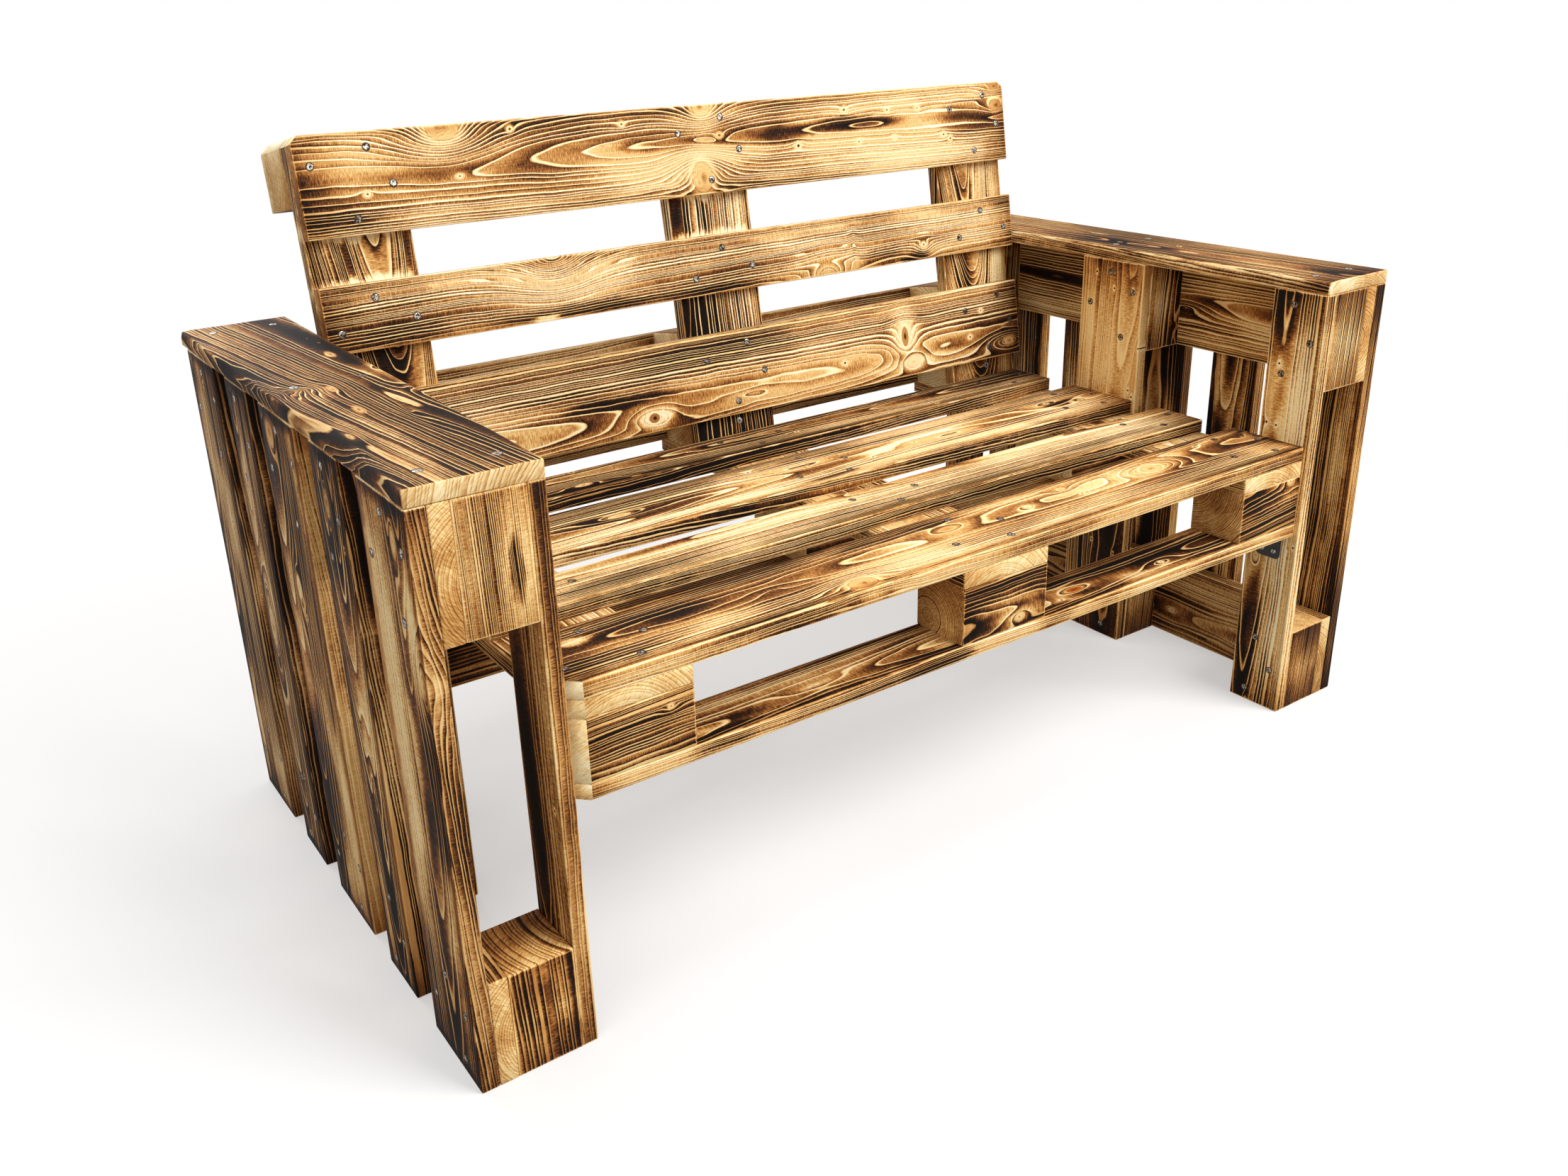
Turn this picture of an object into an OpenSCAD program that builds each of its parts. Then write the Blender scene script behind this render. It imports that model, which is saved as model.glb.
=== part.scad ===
// Two-seat sofa made of four cut transport pallets: a seat, a tilted backrest and two upright arms.
// Millimetres. +Z is up and the sofa faces -Y. The origin is on the floor, under the middle of the sofa.

/* [Pallet boards] */
// Thickness of the deck boards
deck_t = 21; // [16:0.5:26]
// Thickness of the stringer boards between deck and blocks
stringer_t = 22; // [18:0.5:28]
// Height of the blocks between stringers and skid boards
block_t = 76; // [65:1:95]
// Thickness of the skid boards under the blocks
skid_t = 19; // [16:0.5:25]
// Width of the wide deck boards and of the middle skid boards
wide_w = 127; // [110:1:140]
// Width of the narrow deck boards, and of the skid boards and blocks along an edge
narrow_w = 86; // [75:1:100]
// Width of the stringer boards, and length of the blocks under them
stringer_w = 142; // [120:1:150]

/* [Arms] */
// Depth of the arm pallets, from the front to the back of the sofa
arm_depth = 775; // [740:5:820]
// Height of the arm pallets, under the armrests
arm_h = 656; // [620:1:700]
// Height of the blocks and of the stringer at the foot, where the arm pallets are cut
foot_h = 132; // [110:1:150]
// Thickness of the armrest boards
armrest_t = 19; // [16:0.5:28]
// Reach of the armrest boards behind the arm pallets
armrest_overhang = 25; // [5:1:60]

/* [Seat] */
// Length of the seat and backrest pallets, which is the clear width between the arms
seat_l = 1200; // [1000:10:1400]
// Height of the seat's top face
seat_h = 435; // [410:1:460]
// Distance of the seat's front behind the arms' front
seat_setback = 5; // [0:0.5:15]
// Width of the seat's left stringer and length of its blocks
seat_left_w = 150; // [130:1:160]
// Width of the seat's right stringer and length of its blocks
seat_right_w = 134; // [120:1:150]
// Distance of the middle stringers to the right of the sofa's middle
middle_shift = 5; // [-10:1:10]
// Corner cut off the seat's left front corner
seat_left_cut = 21; // [2:0.5:25]
// Corner cut off the seat's right front corner
seat_right_cut = 6; // [2:0.5:18]

/* [Backrest] */
// Height of the backrest's top front edge
back_h = 921; // [880:1:970]
// Backward tilt of the backrest, in degrees
back_tilt = 9; // [5:0.5:12]
// Distance from the backrest's foot up to its lowest deck board
back_foot_gap = 55.3; // [40:0.1:60]
// Length of the backrest's lower blocks, and width of its lower skid board, up from its foot
back_lower_w = 188; // [160:1:210]
// Corner cut off the backrest's top corners
back_cut = 11; // [2:0.5:18]
// Clearance between the last seat board and the backrest's stringers
back_clearance = 0.5; // [0.2:0.1:5]

/* [Nails] */
// Diameter of a nail
nail_d = 4.2; // [3:0.1:5]
// Diameter of a nail's head
nail_head_d = 9; // [7:0.5:11]
// Thickness of a nail's head
nail_head_t = 1.5; // [1:0.1:2]
// Length of the nails that end in a stringer
short_nail_l = 38; // [33:0.5:38]
// Length of the nails that end in a block
long_nail_l = 68; // [60:1:72]
// Length of the nails from a skid board into a block
skid_nail_l = 49; // [40:1:55]
// Distance of the outer nails from the edges of the boards that cross
nail_inset = 20; // [15:1:26]
// Clearance all round a nail or screw in its bore
bore_fit = 0.05; // [0.02:0.01:0.1]

/* [Wood screws] */
// Diameter of a wood screw
screw_d = 5; // [4:0.1:6]
// Diameter of a wood screw's countersunk head
screw_head_d = 9.5; // [8:0.1:12]
// Height of a wood screw's countersunk head
screw_head_h = 2.8; // [2:0.1:3.5]
// Length of a wood screw
screw_l = 60; // [50:1:68]
// Distance of the end screws from the ends of the armrests
armrest_screw_end = 42; // [32:1:55]
// Distance of the inner row of armrest screws from the armrest's inner edge
armrest_screw_side = 28; // [24:1:40]
// Height of the screws in the backrest's stringers below its lowest deck board
back_screw_drop = 14; // [8:1:17]
// Distance of these screws to the right of each stringer's middle
back_screw_shift = 7; // [0:1:12]
// Distance of the screws through an arm from the front edge of its rear skid board
arm_screw_edge = 10; // [6:0.5:11]
// Distance between the two screws through an arm, one above the other
arm_screw_pitch = 25; // [18:1:34]
// Distance of the screws under the backrest to either side of a stringer's middle
foot_screw_side = 40; // [25:1:50]

/* [Brackets] */
// Width of an angle bracket
bracket_w = 40; // [30:1:44]
// Length of each leg of an angle bracket
bracket_leg = 46; // [36:1:60]
// Thickness of an angle bracket
bracket_t = 2.5; // [2:0.1:4]
// Distance of the bracket's screws from the free end of a leg
bracket_hole_end = 12; // [9:0.5:14]
// Distance of the bracket's screws from its side edges
bracket_hole_side = 10; // [8:0.5:12]
// Diameter of a bracket screw
bracket_screw_d = 4; // [3:0.1:4.5]
// Length of a bracket screw under its head
bracket_screw_l = 16; // [12:0.5:18]
// Diameter of a bracket screw's pan head
pan_head_d = 8.5; // [7:0.1:10]
// Height of a bracket screw's pan head
pan_head_h = 2.2; // [1.5:0.1:3]

/* [Hidden] */
$fn = 24;
sides = ["left", "right"];
places = ["front", "middle", "rear"];
ends = ["bottom", "top"];

// Depth of each layer of a pallet below its deck face
stringer_z = deck_t;
block_z = stringer_z + stringer_t;
skid_z = block_z + block_t;
pallet_t = skid_z + skid_t;

// Overall places
half_l = seat_l / 2;
armrest_l = arm_depth + armrest_overhang;
front_y = -armrest_l / 2;
seat_y = front_y + seat_setback;
seat_rail_z = seat_h - deck_t;
seat_bottom_z = seat_h - pallet_t;

// Every pallet is described lying on its back: x runs along its deck boards, y across them,
// and z is 0 at the deck face. A span is the [start, end] of a piece along x or y.
board_gap = (arm_depth - 3 * wide_w - 2 * narrow_w) / 4;
function board_w(i) = i % 2 == 0 ? wide_w : narrow_w;
function board_start(i, gap) = i == 0 ? 0 : board_start(i - 1, gap) + board_w(i - 1) + gap;
function board_spans(count, gap) =
  [for (i = [0 : count - 1]) [board_start(i, gap), board_start(i, gap) + board_w(i)]];
function middle_of(span) = (span[0] + span[1]) / 2;
deck_spans = board_spans(5, board_gap);
block_spans = [[0, narrow_w], deck_spans[2], [arm_depth - narrow_w, arm_depth]];
middle_span = [middle_shift - stringer_w / 2, middle_shift + stringer_w / 2];

arm_stringers = [[0, foot_h], [arm_h - stringer_w, arm_h]];
arm_length = [0, arm_h];
seat_stringers = [[-half_l, seat_left_w - half_l], middle_span, [half_l - seat_right_w, half_l]];
seat_length = [-half_l, half_l];
back_stringers = [[-half_l, stringer_w - half_l], middle_span, [half_l - stringer_w, half_l]];

// The backrest stands on the seat's stringers, just behind the seat's last board. down_at is the
// distance down the backrest to a height, at a depth below its deck face.
function down_at(z, depth) = (back_h - z - depth * sin(back_tilt)) / cos(back_tilt);
foot_y = seat_y + deck_spans[3][1] + back_clearance;
foot_reach = down_at(seat_rail_z, 0);
back_y = foot_y + down_at(seat_rail_z, deck_t) * sin(back_tilt) - deck_t * cos(back_tilt);
function back_y_at(z, depth) = back_y - down_at(z, depth) * sin(back_tilt) + depth * cos(back_tilt);
back_gap = (foot_reach - back_foot_gap - 2 * wide_w - narrow_w) / 2;
back_lower_start = foot_reach - back_lower_w;
back_spans = board_spans(3, back_gap);
back_block_spans = [[0, narrow_w], [back_lower_start, foot_reach]];
back_skid_spans = [[0, narrow_w], [back_lower_start, down_at(seat_rail_z, pallet_t)]];
seat_depth = [0, back_y_at(seat_rail_z, pallet_t) - seat_y];

// Nails, as [x, y, length]: four where a wide board crosses a stringer or block, otherwise three
function crossing(s, b) = b < (wide_w + narrow_w) / 2
  ? [[nail_inset, 0.7 * b], [0.5 * s, nail_inset], [s - nail_inset, 0.6 * b]]
  : [[nail_inset, 0.3 * b], [0.67 * s, nail_inset], [s - nail_inset, 0.53 * b], [0.48 * s, b - nail_inset]];
function over_block(y, blocks) =
  len([for (b = blocks) if (y > b[0] + nail_d && y < b[1] - nail_d) b]) > 0;
function deck_nails(stringers, boards, blocks) = [
  for (s = stringers, b = boards, p = crossing(s[1] - s[0], b[1] - b[0]))
    [s[0] + p[0], b[0] + p[1], over_block(b[0] + p[1], blocks) ? long_nail_l : short_nail_l]
];
function skid_nails(stringers, boards) = [
  for (s = stringers, b = boards, p = crossing(s[1] - s[0], b[1] - b[0]))
    [s[0] + p[0], b[0] + p[1], skid_nail_l]
];
arm_deck_nails = deck_nails(arm_stringers, deck_spans, block_spans);
arm_skid_nails = skid_nails(arm_stringers, block_spans);
seat_boards = [for (i = [0 : 3]) deck_spans[i]];
seat_blocks = [block_spans[0], block_spans[1]];
seat_deck_nails = deck_nails(seat_stringers, seat_boards, seat_blocks);
seat_skid_nails = skid_nails(seat_stringers, seat_blocks);
back_deck_nails = deck_nails(back_stringers, back_spans, back_block_spans);
back_skid_nails = skid_nails(back_stringers, back_skid_spans);

// Screws
armrest_rows = [half_l + armrest_screw_side, half_l + pallet_t - deck_t - stringer_t / 2];
armrest_stations = [armrest_screw_end, block_spans[1][1] - armrest_screw_end, armrest_l - armrest_screw_end];
arm_screw_y = front_y + block_spans[2][0] + arm_screw_edge;
arm_screw_z = arm_h - stringer_w - screw_head_d;
foot_screw_y = (back_y_at(seat_rail_z, block_z) + back_y_at(seat_rail_z, skid_z)) / 2;
front_bracket_y = seat_y + seat_left_cut;
middle_bracket_y = front_y + (deck_spans[2][0] + seat_setback + deck_spans[2][1] - bracket_w) / 2;

// Colours
deck_wood = [0.72, 0.50, 0.27];
stringer_wood = [0.50, 0.33, 0.18];
block_wood = [0.62, 0.44, 0.26];
skid_wood = [0.42, 0.28, 0.16];
armrest_wood = [0.30, 0.19, 0.11];
steel = [0.66, 0.66, 0.64];
black_steel = [0.08, 0.08, 0.08];

// Placing a pallet that is described lying on its back
module on_side(side) {
  if (side == "right") mirror([1, 0, 0]) children();
  else children();
}

module arm_frame(side)
  on_side(side) translate([-half_l - pallet_t, front_y, 0]) rotate([0, -90, 0]) children();

module seat_frame()
  translate([0, seat_y, seat_h]) children();

module back_frame()
  translate([0, back_y, back_h]) rotate([90 - back_tilt, 0, 0]) mirror([0, 1, 0]) children();

// Fasteners, pointing down from the face at z = 0. grow is the clearance of the bore round them.
module nail(length, grow = 0) {
  translate([0, 0, -length]) cylinder(h = length, d = nail_d + 2 * grow);
  translate([0, 0, -nail_head_t]) cylinder(h = nail_head_t + grow, d = nail_head_d + 2 * grow);
}

module wood_screw(grow = 0) {
  translate([0, 0, -screw_l]) cylinder(h = screw_l, d = screw_d + 2 * grow);
  translate([0, 0, -screw_head_h])
    cylinder(h = screw_head_h, d1 = screw_d + 2 * grow, d2 = screw_head_d + 2 * grow);
  if (grow > 0) cylinder(h = 1, d = screw_head_d + 2 * grow);
}

module bracket_screw(grow = 0) {
  translate([0, 0, -bracket_screw_l]) cylinder(h = bracket_screw_l + grow, d = bracket_screw_d + 2 * grow);
  if (grow == 0) cylinder(h = pan_head_h, d = pan_head_d);
}

module nails(deck, skid) {
  for (n = deck) translate([n[0], n[1], 0]) nail(n[2]);
  for (n = skid) translate([n[0], n[1], -pallet_t]) mirror([0, 0, 1]) nail(n[2]);
}

// One board or block of a pallet, with the bores of the nails that reach it
function crossing_nails(nails, x, y, depth) =
  [for (n = nails) if (n[0] > x[0] && n[0] < x[1] && n[1] > y[0] && n[1] < y[1] && n[2] > depth) n];

module timber(x, y, z, t, deck = [], skid = []) {
  difference() {
    translate([x[0], y[0], -z - t]) cube([x[1] - x[0], y[1] - y[0], t]);
    for (n = crossing_nails(deck, x, y, z)) translate([n[0], n[1], 0]) nail(n[2], bore_fit);
    for (n = crossing_nails(skid, x, y, pallet_t - z - t))
      translate([n[0], n[1], -pallet_t]) mirror([0, 0, 1]) nail(n[2], bore_fit);
  }
}

// A wedge that takes the corner at x, y off, at c from it along both edges
module corner_wedge(x, y, c) {
  inward = x < 0 ? 1 : -1;
  translate([x, y, -pallet_t - 1]) linear_extrude(pallet_t + 2)
    polygon([[inward * (c + 1), -1], [-inward, c + 1], [-inward, -1]]);
}

// Where the screws sit
module at_armrest_screws(side)
  on_side(side) for (x = armrest_rows, y = armrest_stations)
    translate([-x, front_y + y, arm_h + armrest_t]) children();

module at_arm_to_back_screws(side)
  on_side(side) for (i = [0, 1])
    translate([-half_l - skid_t, arm_screw_y, arm_screw_z - i * arm_screw_pitch])
      rotate([0, -90, 0]) children();

module at_back_stringer_screws()
  back_frame() for (s = back_stringers)
    translate([middle_of(s) + back_screw_shift, back_spans[2][1] + back_screw_drop, -stringer_z]) children();

module at_back_foot_screws()
  for (s = back_stringers, i = [-1, 1])
    translate([middle_of(s) + i * foot_screw_side, foot_screw_y, seat_rail_z - stringer_t])
      rotate([180, 0, 0]) children();

// The bracket's corner is where the arm's skid board and the underside of the seat meet
module at_brackets(side)
  on_side(side) for (y = [front_bracket_y, middle_bracket_y])
    translate([-half_l, y, seat_bottom_z]) children();

module at_bracket_screws(side)
  at_brackets(side) for (y = [bracket_hole_side, bracket_w - bracket_hole_side]) {
    translate([bracket_t, y, bracket_hole_end - bracket_leg]) rotate([0, 90, 0]) children();
    translate([bracket_leg - bracket_hole_end, y, -bracket_t]) rotate([180, 0, 0]) children();
  }

// Arms
module arm_deck_board(side, i)
  color(deck_wood) arm_frame(side) timber(arm_length, deck_spans[i], 0, deck_t, arm_deck_nails);

module arm_stringer(side, i)
  color(stringer_wood) difference() {
    arm_frame(side) timber(arm_stringers[i], [0, arm_depth], stringer_z, stringer_t, arm_deck_nails);
    if (i == 1) at_armrest_screws(side) wood_screw(bore_fit);
  }

module arm_blocks(side, i)
  color(block_wood) difference() {
    arm_frame(side) for (y = block_spans)
      timber(arm_stringers[i], y, block_z, block_t, arm_deck_nails, arm_skid_nails);
    if (i == 1) at_armrest_screws(side) wood_screw(bore_fit);
  }

module arm_skid_board(side, i)
  color(skid_wood) difference() {
    arm_frame(side) timber(arm_length, block_spans[i], skid_z, skid_t, [], arm_skid_nails);
    if (i < 2) at_bracket_screws(side) bracket_screw(bore_fit);
    if (i == 2) at_arm_to_back_screws(side) wood_screw(bore_fit);
  }

module armrest(side)
  color(armrest_wood) difference() {
    on_side(side) translate([-half_l - pallet_t, front_y, arm_h]) cube([pallet_t, armrest_l, armrest_t]);
    at_armrest_screws(side) wood_screw(bore_fit);
  }

module arm_nails(side)
  color(steel) arm_frame(side) nails(arm_deck_nails, arm_skid_nails);

// Seat
module seat_cuts() {
  corner_wedge(-half_l, 0, seat_left_cut);
  corner_wedge(half_l, 0, seat_right_cut);
}

module seat_deck_board(i)
  color(deck_wood) seat_frame() difference() {
    timber(seat_length, deck_spans[i], 0, deck_t, seat_deck_nails);
    seat_cuts();
  }

module seat_stringer(i)
  color(stringer_wood) difference() {
    seat_frame() difference() {
      timber(seat_stringers[i], seat_depth, stringer_z, stringer_t, seat_deck_nails);
      seat_cuts();
    }
    at_back_foot_screws() wood_screw(bore_fit);
  }

module seat_block_row(i)
  color(block_wood) seat_frame() difference() {
    for (x = seat_stringers) timber(x, block_spans[i], block_z, block_t, seat_deck_nails, seat_skid_nails);
    seat_cuts();
  }

module seat_skid_board(i)
  color(skid_wood) difference() {
    seat_frame() difference() {
      timber(seat_length, block_spans[i], skid_z, skid_t, [], seat_skid_nails);
      seat_cuts();
    }
    for (side = sides) at_bracket_screws(side) bracket_screw(bore_fit);
  }

module seat_nails()
  color(steel) seat_frame() nails(seat_deck_nails, seat_skid_nails);

// Backrest
module back_cuts() {
  corner_wedge(-half_l, 0, back_cut);
  corner_wedge(half_l, 0, back_cut);
}

// Everything below the top of the seat's stringers, where the backrest is sawn off level
module below_foot()
  translate([-half_l - 1, front_y, 0]) cube([seat_l + 2, armrest_l, seat_rail_z]);

module back_deck_board(i)
  color(deck_wood) back_frame() difference() {
    timber(seat_length, back_spans[i], 0, deck_t, back_deck_nails);
    back_cuts();
  }

module back_stringer(i)
  color(stringer_wood) difference() {
    back_frame() difference() {
      timber(back_stringers[i], [0, foot_reach], stringer_z, stringer_t, back_deck_nails);
      back_cuts();
    }
    below_foot();
    at_back_stringer_screws() wood_screw(bore_fit);
  }

module back_block_row(i)
  color(block_wood) difference() {
    back_frame() difference() {
      for (x = back_stringers)
        timber(x, back_block_spans[i], block_z, block_t, back_deck_nails, back_skid_nails);
      back_cuts();
    }
    below_foot();
    if (i == 1) {
      at_back_stringer_screws() wood_screw(bore_fit);
      at_back_foot_screws() wood_screw(bore_fit);
      for (side = sides) at_arm_to_back_screws(side) wood_screw(bore_fit);
    }
  }

module back_skid_board(i)
  color(skid_wood) difference() {
    back_frame() difference() {
      timber(seat_length, back_block_spans[i], skid_z, skid_t, [], back_skid_nails);
      back_cuts();
    }
    below_foot();
    if (i == 1)
      for (side = sides) at_arm_to_back_screws(side) wood_screw(bore_fit);
  }

module back_nails()
  color(steel) back_frame() nails(back_deck_nails, back_skid_nails);

// Hardware
module bracket()
  difference() {
    union() {
      translate([0, 0, -bracket_leg]) cube([bracket_t, bracket_w, bracket_leg]);
      translate([0, 0, -bracket_t]) cube([bracket_leg, bracket_w, bracket_t]);
    }
    for (y = [bracket_hole_side, bracket_w - bracket_hole_side]) {
      translate([-1, y, bracket_hole_end - bracket_leg]) rotate([0, 90, 0])
        cylinder(h = bracket_t + 2, d = bracket_screw_d + 2 * bore_fit);
      translate([bracket_leg - bracket_hole_end, y, -bracket_t - 1])
        cylinder(h = bracket_t + 2, d = bracket_screw_d + 2 * bore_fit);
    }
  }

module seat_brackets()
  color(black_steel) for (side = sides) at_brackets(side) bracket();

module bracket_screws()
  color(black_steel) for (side = sides) at_bracket_screws(side) bracket_screw();

module armrest_screws()
  color(steel) for (side = sides) at_armrest_screws(side) wood_screw();

module back_stringer_screws()
  color(steel) at_back_stringer_screws() wood_screw();

module back_foot_screws()
  color(steel) at_back_foot_screws() wood_screw();

module arm_to_back_screws()
  color(steel) for (side = sides) at_arm_to_back_screws(side) wood_screw();

for (side = sides) {
  for (i = [0 : 4])
    arm_deck_board(side, i);
  for (i = [0, 1]) {
    arm_stringer(side, i);
    arm_blocks(side, i);
  }
  for (i = [0 : 2])
    arm_skid_board(side, i);
  armrest(side);
  arm_nails(side);
}

for (i = [0 : 3])
  seat_deck_board(i);
seat_stringer(0);  // seat_left_stringer
seat_stringer(1);  // seat_middle_stringer
seat_stringer(2);  // seat_right_stringer
for (i = [0, 1]) {
  seat_block_row(i);
  seat_skid_board(i);
}
seat_nails();

for (i = [0 : 2])
  back_deck_board(i);
back_stringer(0);  // back_left_stringer
back_stringer(1);  // back_middle_stringer
back_stringer(2);  // back_right_stringer
back_block_row(0);  // back_top_blocks
back_block_row(1);  // back_lower_blocks
back_skid_board(0);  // back_top_skid_board
back_skid_board(1);  // back_lower_skid_board
back_nails();

seat_brackets();
bracket_screws();
armrest_screws();
back_stringer_screws();
back_foot_screws();
arm_to_back_screws();
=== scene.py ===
import math
import random
import bmesh
import bpy
from mathutils import Matrix, Vector, noise


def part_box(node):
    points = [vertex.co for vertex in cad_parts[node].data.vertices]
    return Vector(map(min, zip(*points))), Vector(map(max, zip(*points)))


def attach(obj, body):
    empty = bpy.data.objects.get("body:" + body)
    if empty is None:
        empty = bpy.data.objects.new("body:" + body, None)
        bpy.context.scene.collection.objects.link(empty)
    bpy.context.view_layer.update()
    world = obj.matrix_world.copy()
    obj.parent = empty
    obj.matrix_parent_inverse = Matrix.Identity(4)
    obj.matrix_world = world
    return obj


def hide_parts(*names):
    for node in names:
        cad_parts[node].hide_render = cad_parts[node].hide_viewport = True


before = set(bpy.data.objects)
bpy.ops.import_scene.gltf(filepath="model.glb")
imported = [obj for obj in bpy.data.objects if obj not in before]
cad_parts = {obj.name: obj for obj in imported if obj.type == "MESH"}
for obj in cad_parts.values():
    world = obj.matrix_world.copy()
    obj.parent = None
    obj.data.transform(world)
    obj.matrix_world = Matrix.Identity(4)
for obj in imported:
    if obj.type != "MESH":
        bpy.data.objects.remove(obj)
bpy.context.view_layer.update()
print("frame loaded:", len(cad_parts), "nodes")

# Camera, as it stood for the photograph. right and down are the picture's own directions.
shot = {
    "place": (-1.09759, -1.48710, 1.05987),
    "right": (0.82025, -0.57132, -0.02793),
    "down": (-0.23438, -0.29116, -0.92752),
    "lens": 30.946,
    "sensor": 36.0,
    "shift": (0.01232, -0.02992),
    "farthest": 60,
}


def placeCamera():
    data = bpy.data.cameras.new("photoCamera")
    data.sensor_width = shot["sensor"]
    data.sensor_fit = "HORIZONTAL"
    data.lens = shot["lens"]
    data.shift_x, data.shift_y = shot["shift"]
    data.clip_end = shot["farthest"]
    right = Vector(shot["right"]).normalized()
    forward = right.cross(Vector(shot["down"])).normalized()
    turn = Matrix((right, -forward.cross(right), -forward)).transposed()
    camera = bpy.data.objects.new("photoCamera", data)
    camera.matrix_world = Matrix.Translation(shot["place"]) @ turn.to_4x4()
    bpy.context.scene.collection.objects.link(camera)
    bpy.context.scene.camera = camera


placeCamera()
print("camera placed")


# Small helpers for shader trees
class Wiring:
    def __init__(self, tree):
        self.tree = tree

    def add(self, kind, **settings):
        node = self.tree.nodes.new(kind)
        for key, value in settings.items():
            setattr(node, key, value)
        return node

    def feed(self, socket, value):
        if isinstance(value, bpy.types.NodeSocket):
            self.tree.links.new(value, socket)
        else:
            socket.default_value = value

    # a node's inputs, in their order or by their names
    def fill(self, node, *values, **named):
        for socket, value in zip(node.inputs, values):
            self.feed(socket, value)
        for label, value in named.items():
            self.feed(node.inputs[label], value)
        return node.outputs

    def use(self, group, **named):
        return self.fill(self.add("ShaderNodeGroup", node_tree=group), **named)

    def attribute(self, name, output="Vector"):
        return self.add("ShaderNodeAttribute", attribute_name=name).outputs[output]

    def math(self, operation, *values):
        return self.fill(self.add("ShaderNodeMath", operation=operation), *values)[0]

    def less(self, a, b):
        return self.math("SUBTRACT", a, b)

    # a times b, plus c where it is given
    def times(self, a, b, *c):
        return self.math("MULTIPLY_ADD" if c else "MULTIPLY", a, b, *c)

    # a start and shares of other values on top
    def pile(self, start, *shares):
        for value, share in shares:
            start = self.times(value, share, start)
        return start

    def vector(self, operation, *values):
        outputs = self.fill(self.add("ShaderNodeVectorMath", operation=operation), *values)
        return outputs["Value" if operation == "LENGTH" else "Vector"]

    # how long a vector is, counted in sizes
    def distance(self, away, size):
        return self.vector("LENGTH", self.vector("DIVIDE", away, size))

    def split(self, value):
        return self.fill(self.add("ShaderNodeSeparateXYZ"), value)

    def join(self, *values):
        return self.fill(self.add("ShaderNodeCombineXYZ"), *values)[0]

    def fade(self, value, low, high, start=0.0, stop=1.0):
        node = self.add("ShaderNodeMapRange", interpolation_type="SMOOTHSTEP")
        return self.fill(node, value, low, high, start, stop)[0]

    def fadeOut(self, value, low, high):
        return self.fade(value, low, high, 1.0, 0.0)

    # the Mix node has one pair of inputs and one output for each kind of value
    def blend(self, share, a, b, kind="FLOAT"):
        output = ("FLOAT", "VECTOR", "RGBA").index(kind)
        node = self.add("ShaderNodeMix", data_type=kind)
        first = 2 * output + 2
        for index, value in ((0, share), (first, a), (first + 1, b)):
            self.feed(node.inputs[index], value)
        return node.outputs[output]

    def noise(self, place, repeat, detail=2.0, rough=0.5, output="Fac"):
        scaled = self.vector("MULTIPLY", place, repeat)
        node = self.add("ShaderNodeTexNoise")
        return self.fill(node, Vector=scaled, Scale=1.0, Detail=detail, Roughness=rough)[output]

    # noise about zero, as a number and as a vector
    def shiver(self, place, repeat, detail, rough):
        return self.less(self.noise(place, repeat, detail, rough), 0.5)

    def shake(self, place, repeat, detail, rough):
        return self.vector("SUBTRACT", self.noise(place, repeat, detail, rough, "Color"), (0.5, 0.5, 0.5))

    def ramp(self, value, *stops):
        node = self.add("ShaderNodeValToRGB")
        self.feed(node.inputs[0], value)
        elements = node.color_ramp.elements
        while len(elements) < len(stops):
            elements.new(0.5)
        for element, (place, colour) in zip(elements, stops):
            element.position = place
            element.color = colour
        return node.outputs[0]

    def bump(self, height, strength, distance):
        node = self.add("ShaderNodeBump")
        return self.fill(node, Strength=strength, Distance=distance, Height=height)["Normal"]


def tone(red, green, blue):
    def linear(value):
        value /= 255
        return value / 12.92 if value <= 0.04045 else ((value + 0.055) / 1.055) ** 2.4
    return linear(red), linear(green), linear(blue), 1.0


# Inputs come with their first values, which also tell numbers from vectors
def newGroup(name, inputs, outputs):
    tree = bpy.data.node_groups.new(name, "ShaderNodeTree")
    for label, value in inputs.items():
        kind = "NodeSocketVector" if isinstance(value, tuple) else "NodeSocketFloat"
        tree.interface.new_socket(name=label, in_out="INPUT", socket_type=kind).default_value = value
    for label, kind in outputs.items():
        tree.interface.new_socket(name=label, in_out="OUTPUT", socket_type="NodeSocket" + kind)
    w = Wiring(tree)
    return w, w.add("NodeGroupInput").outputs, w.add("NodeGroupOutput").inputs


def newMaterial(name):
    material = bpy.data.materials.new(name)
    material.use_nodes = True
    return material, Wiring(material.node_tree), material.node_tree.nodes["Principled BSDF"].inputs


# How often the patterns in the wood repeat in a metre: along the grain, across it and into the board
repeats = {
    "pinCells": (11.0, 34.0, 0.0),
    "sway": (2.3, 8.0, 8.0),
    "tremble": (18.0, 45.0, 45.0),
    "jag": (130.0, 420.0, 420.0),
    "patches": (3.1, 11.0, 11.0),
    "markEdge": (28.0, 75.0, 75.0),
    "fibres": (11.0, 620.0, 620.0),
    "ticks": (820.0, 150.0, 150.0),
    "knotRings": (110.0, 110.0, 110.0),
    "arris": (38.0, 90.0, 90.0),
    "sawMarks": (520.0, 85.0, 110.0),
}
# Sizes in the wood, in metres. A strip goes from where it is whole to where it ends.
sizes = {
    "pinHalo": (0.0085, 0.0042, 1.0),
    "pinHole": (0.0013, 0.0020),
    "tremble": (0.0, 0.0030, 0.0012),
    "markEdge": (0.035, 0.010, 0.010),
    "wornAndHighlitStrip": (-0.0014, 0.0014),
    "scorchedStrip": (-0.006, 0.012),
    "scorchedEnd": (-0.02, 0.05),
    "endGrain": (0.0006, 0.0022),
    "relief": 0.0012,
}


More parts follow.
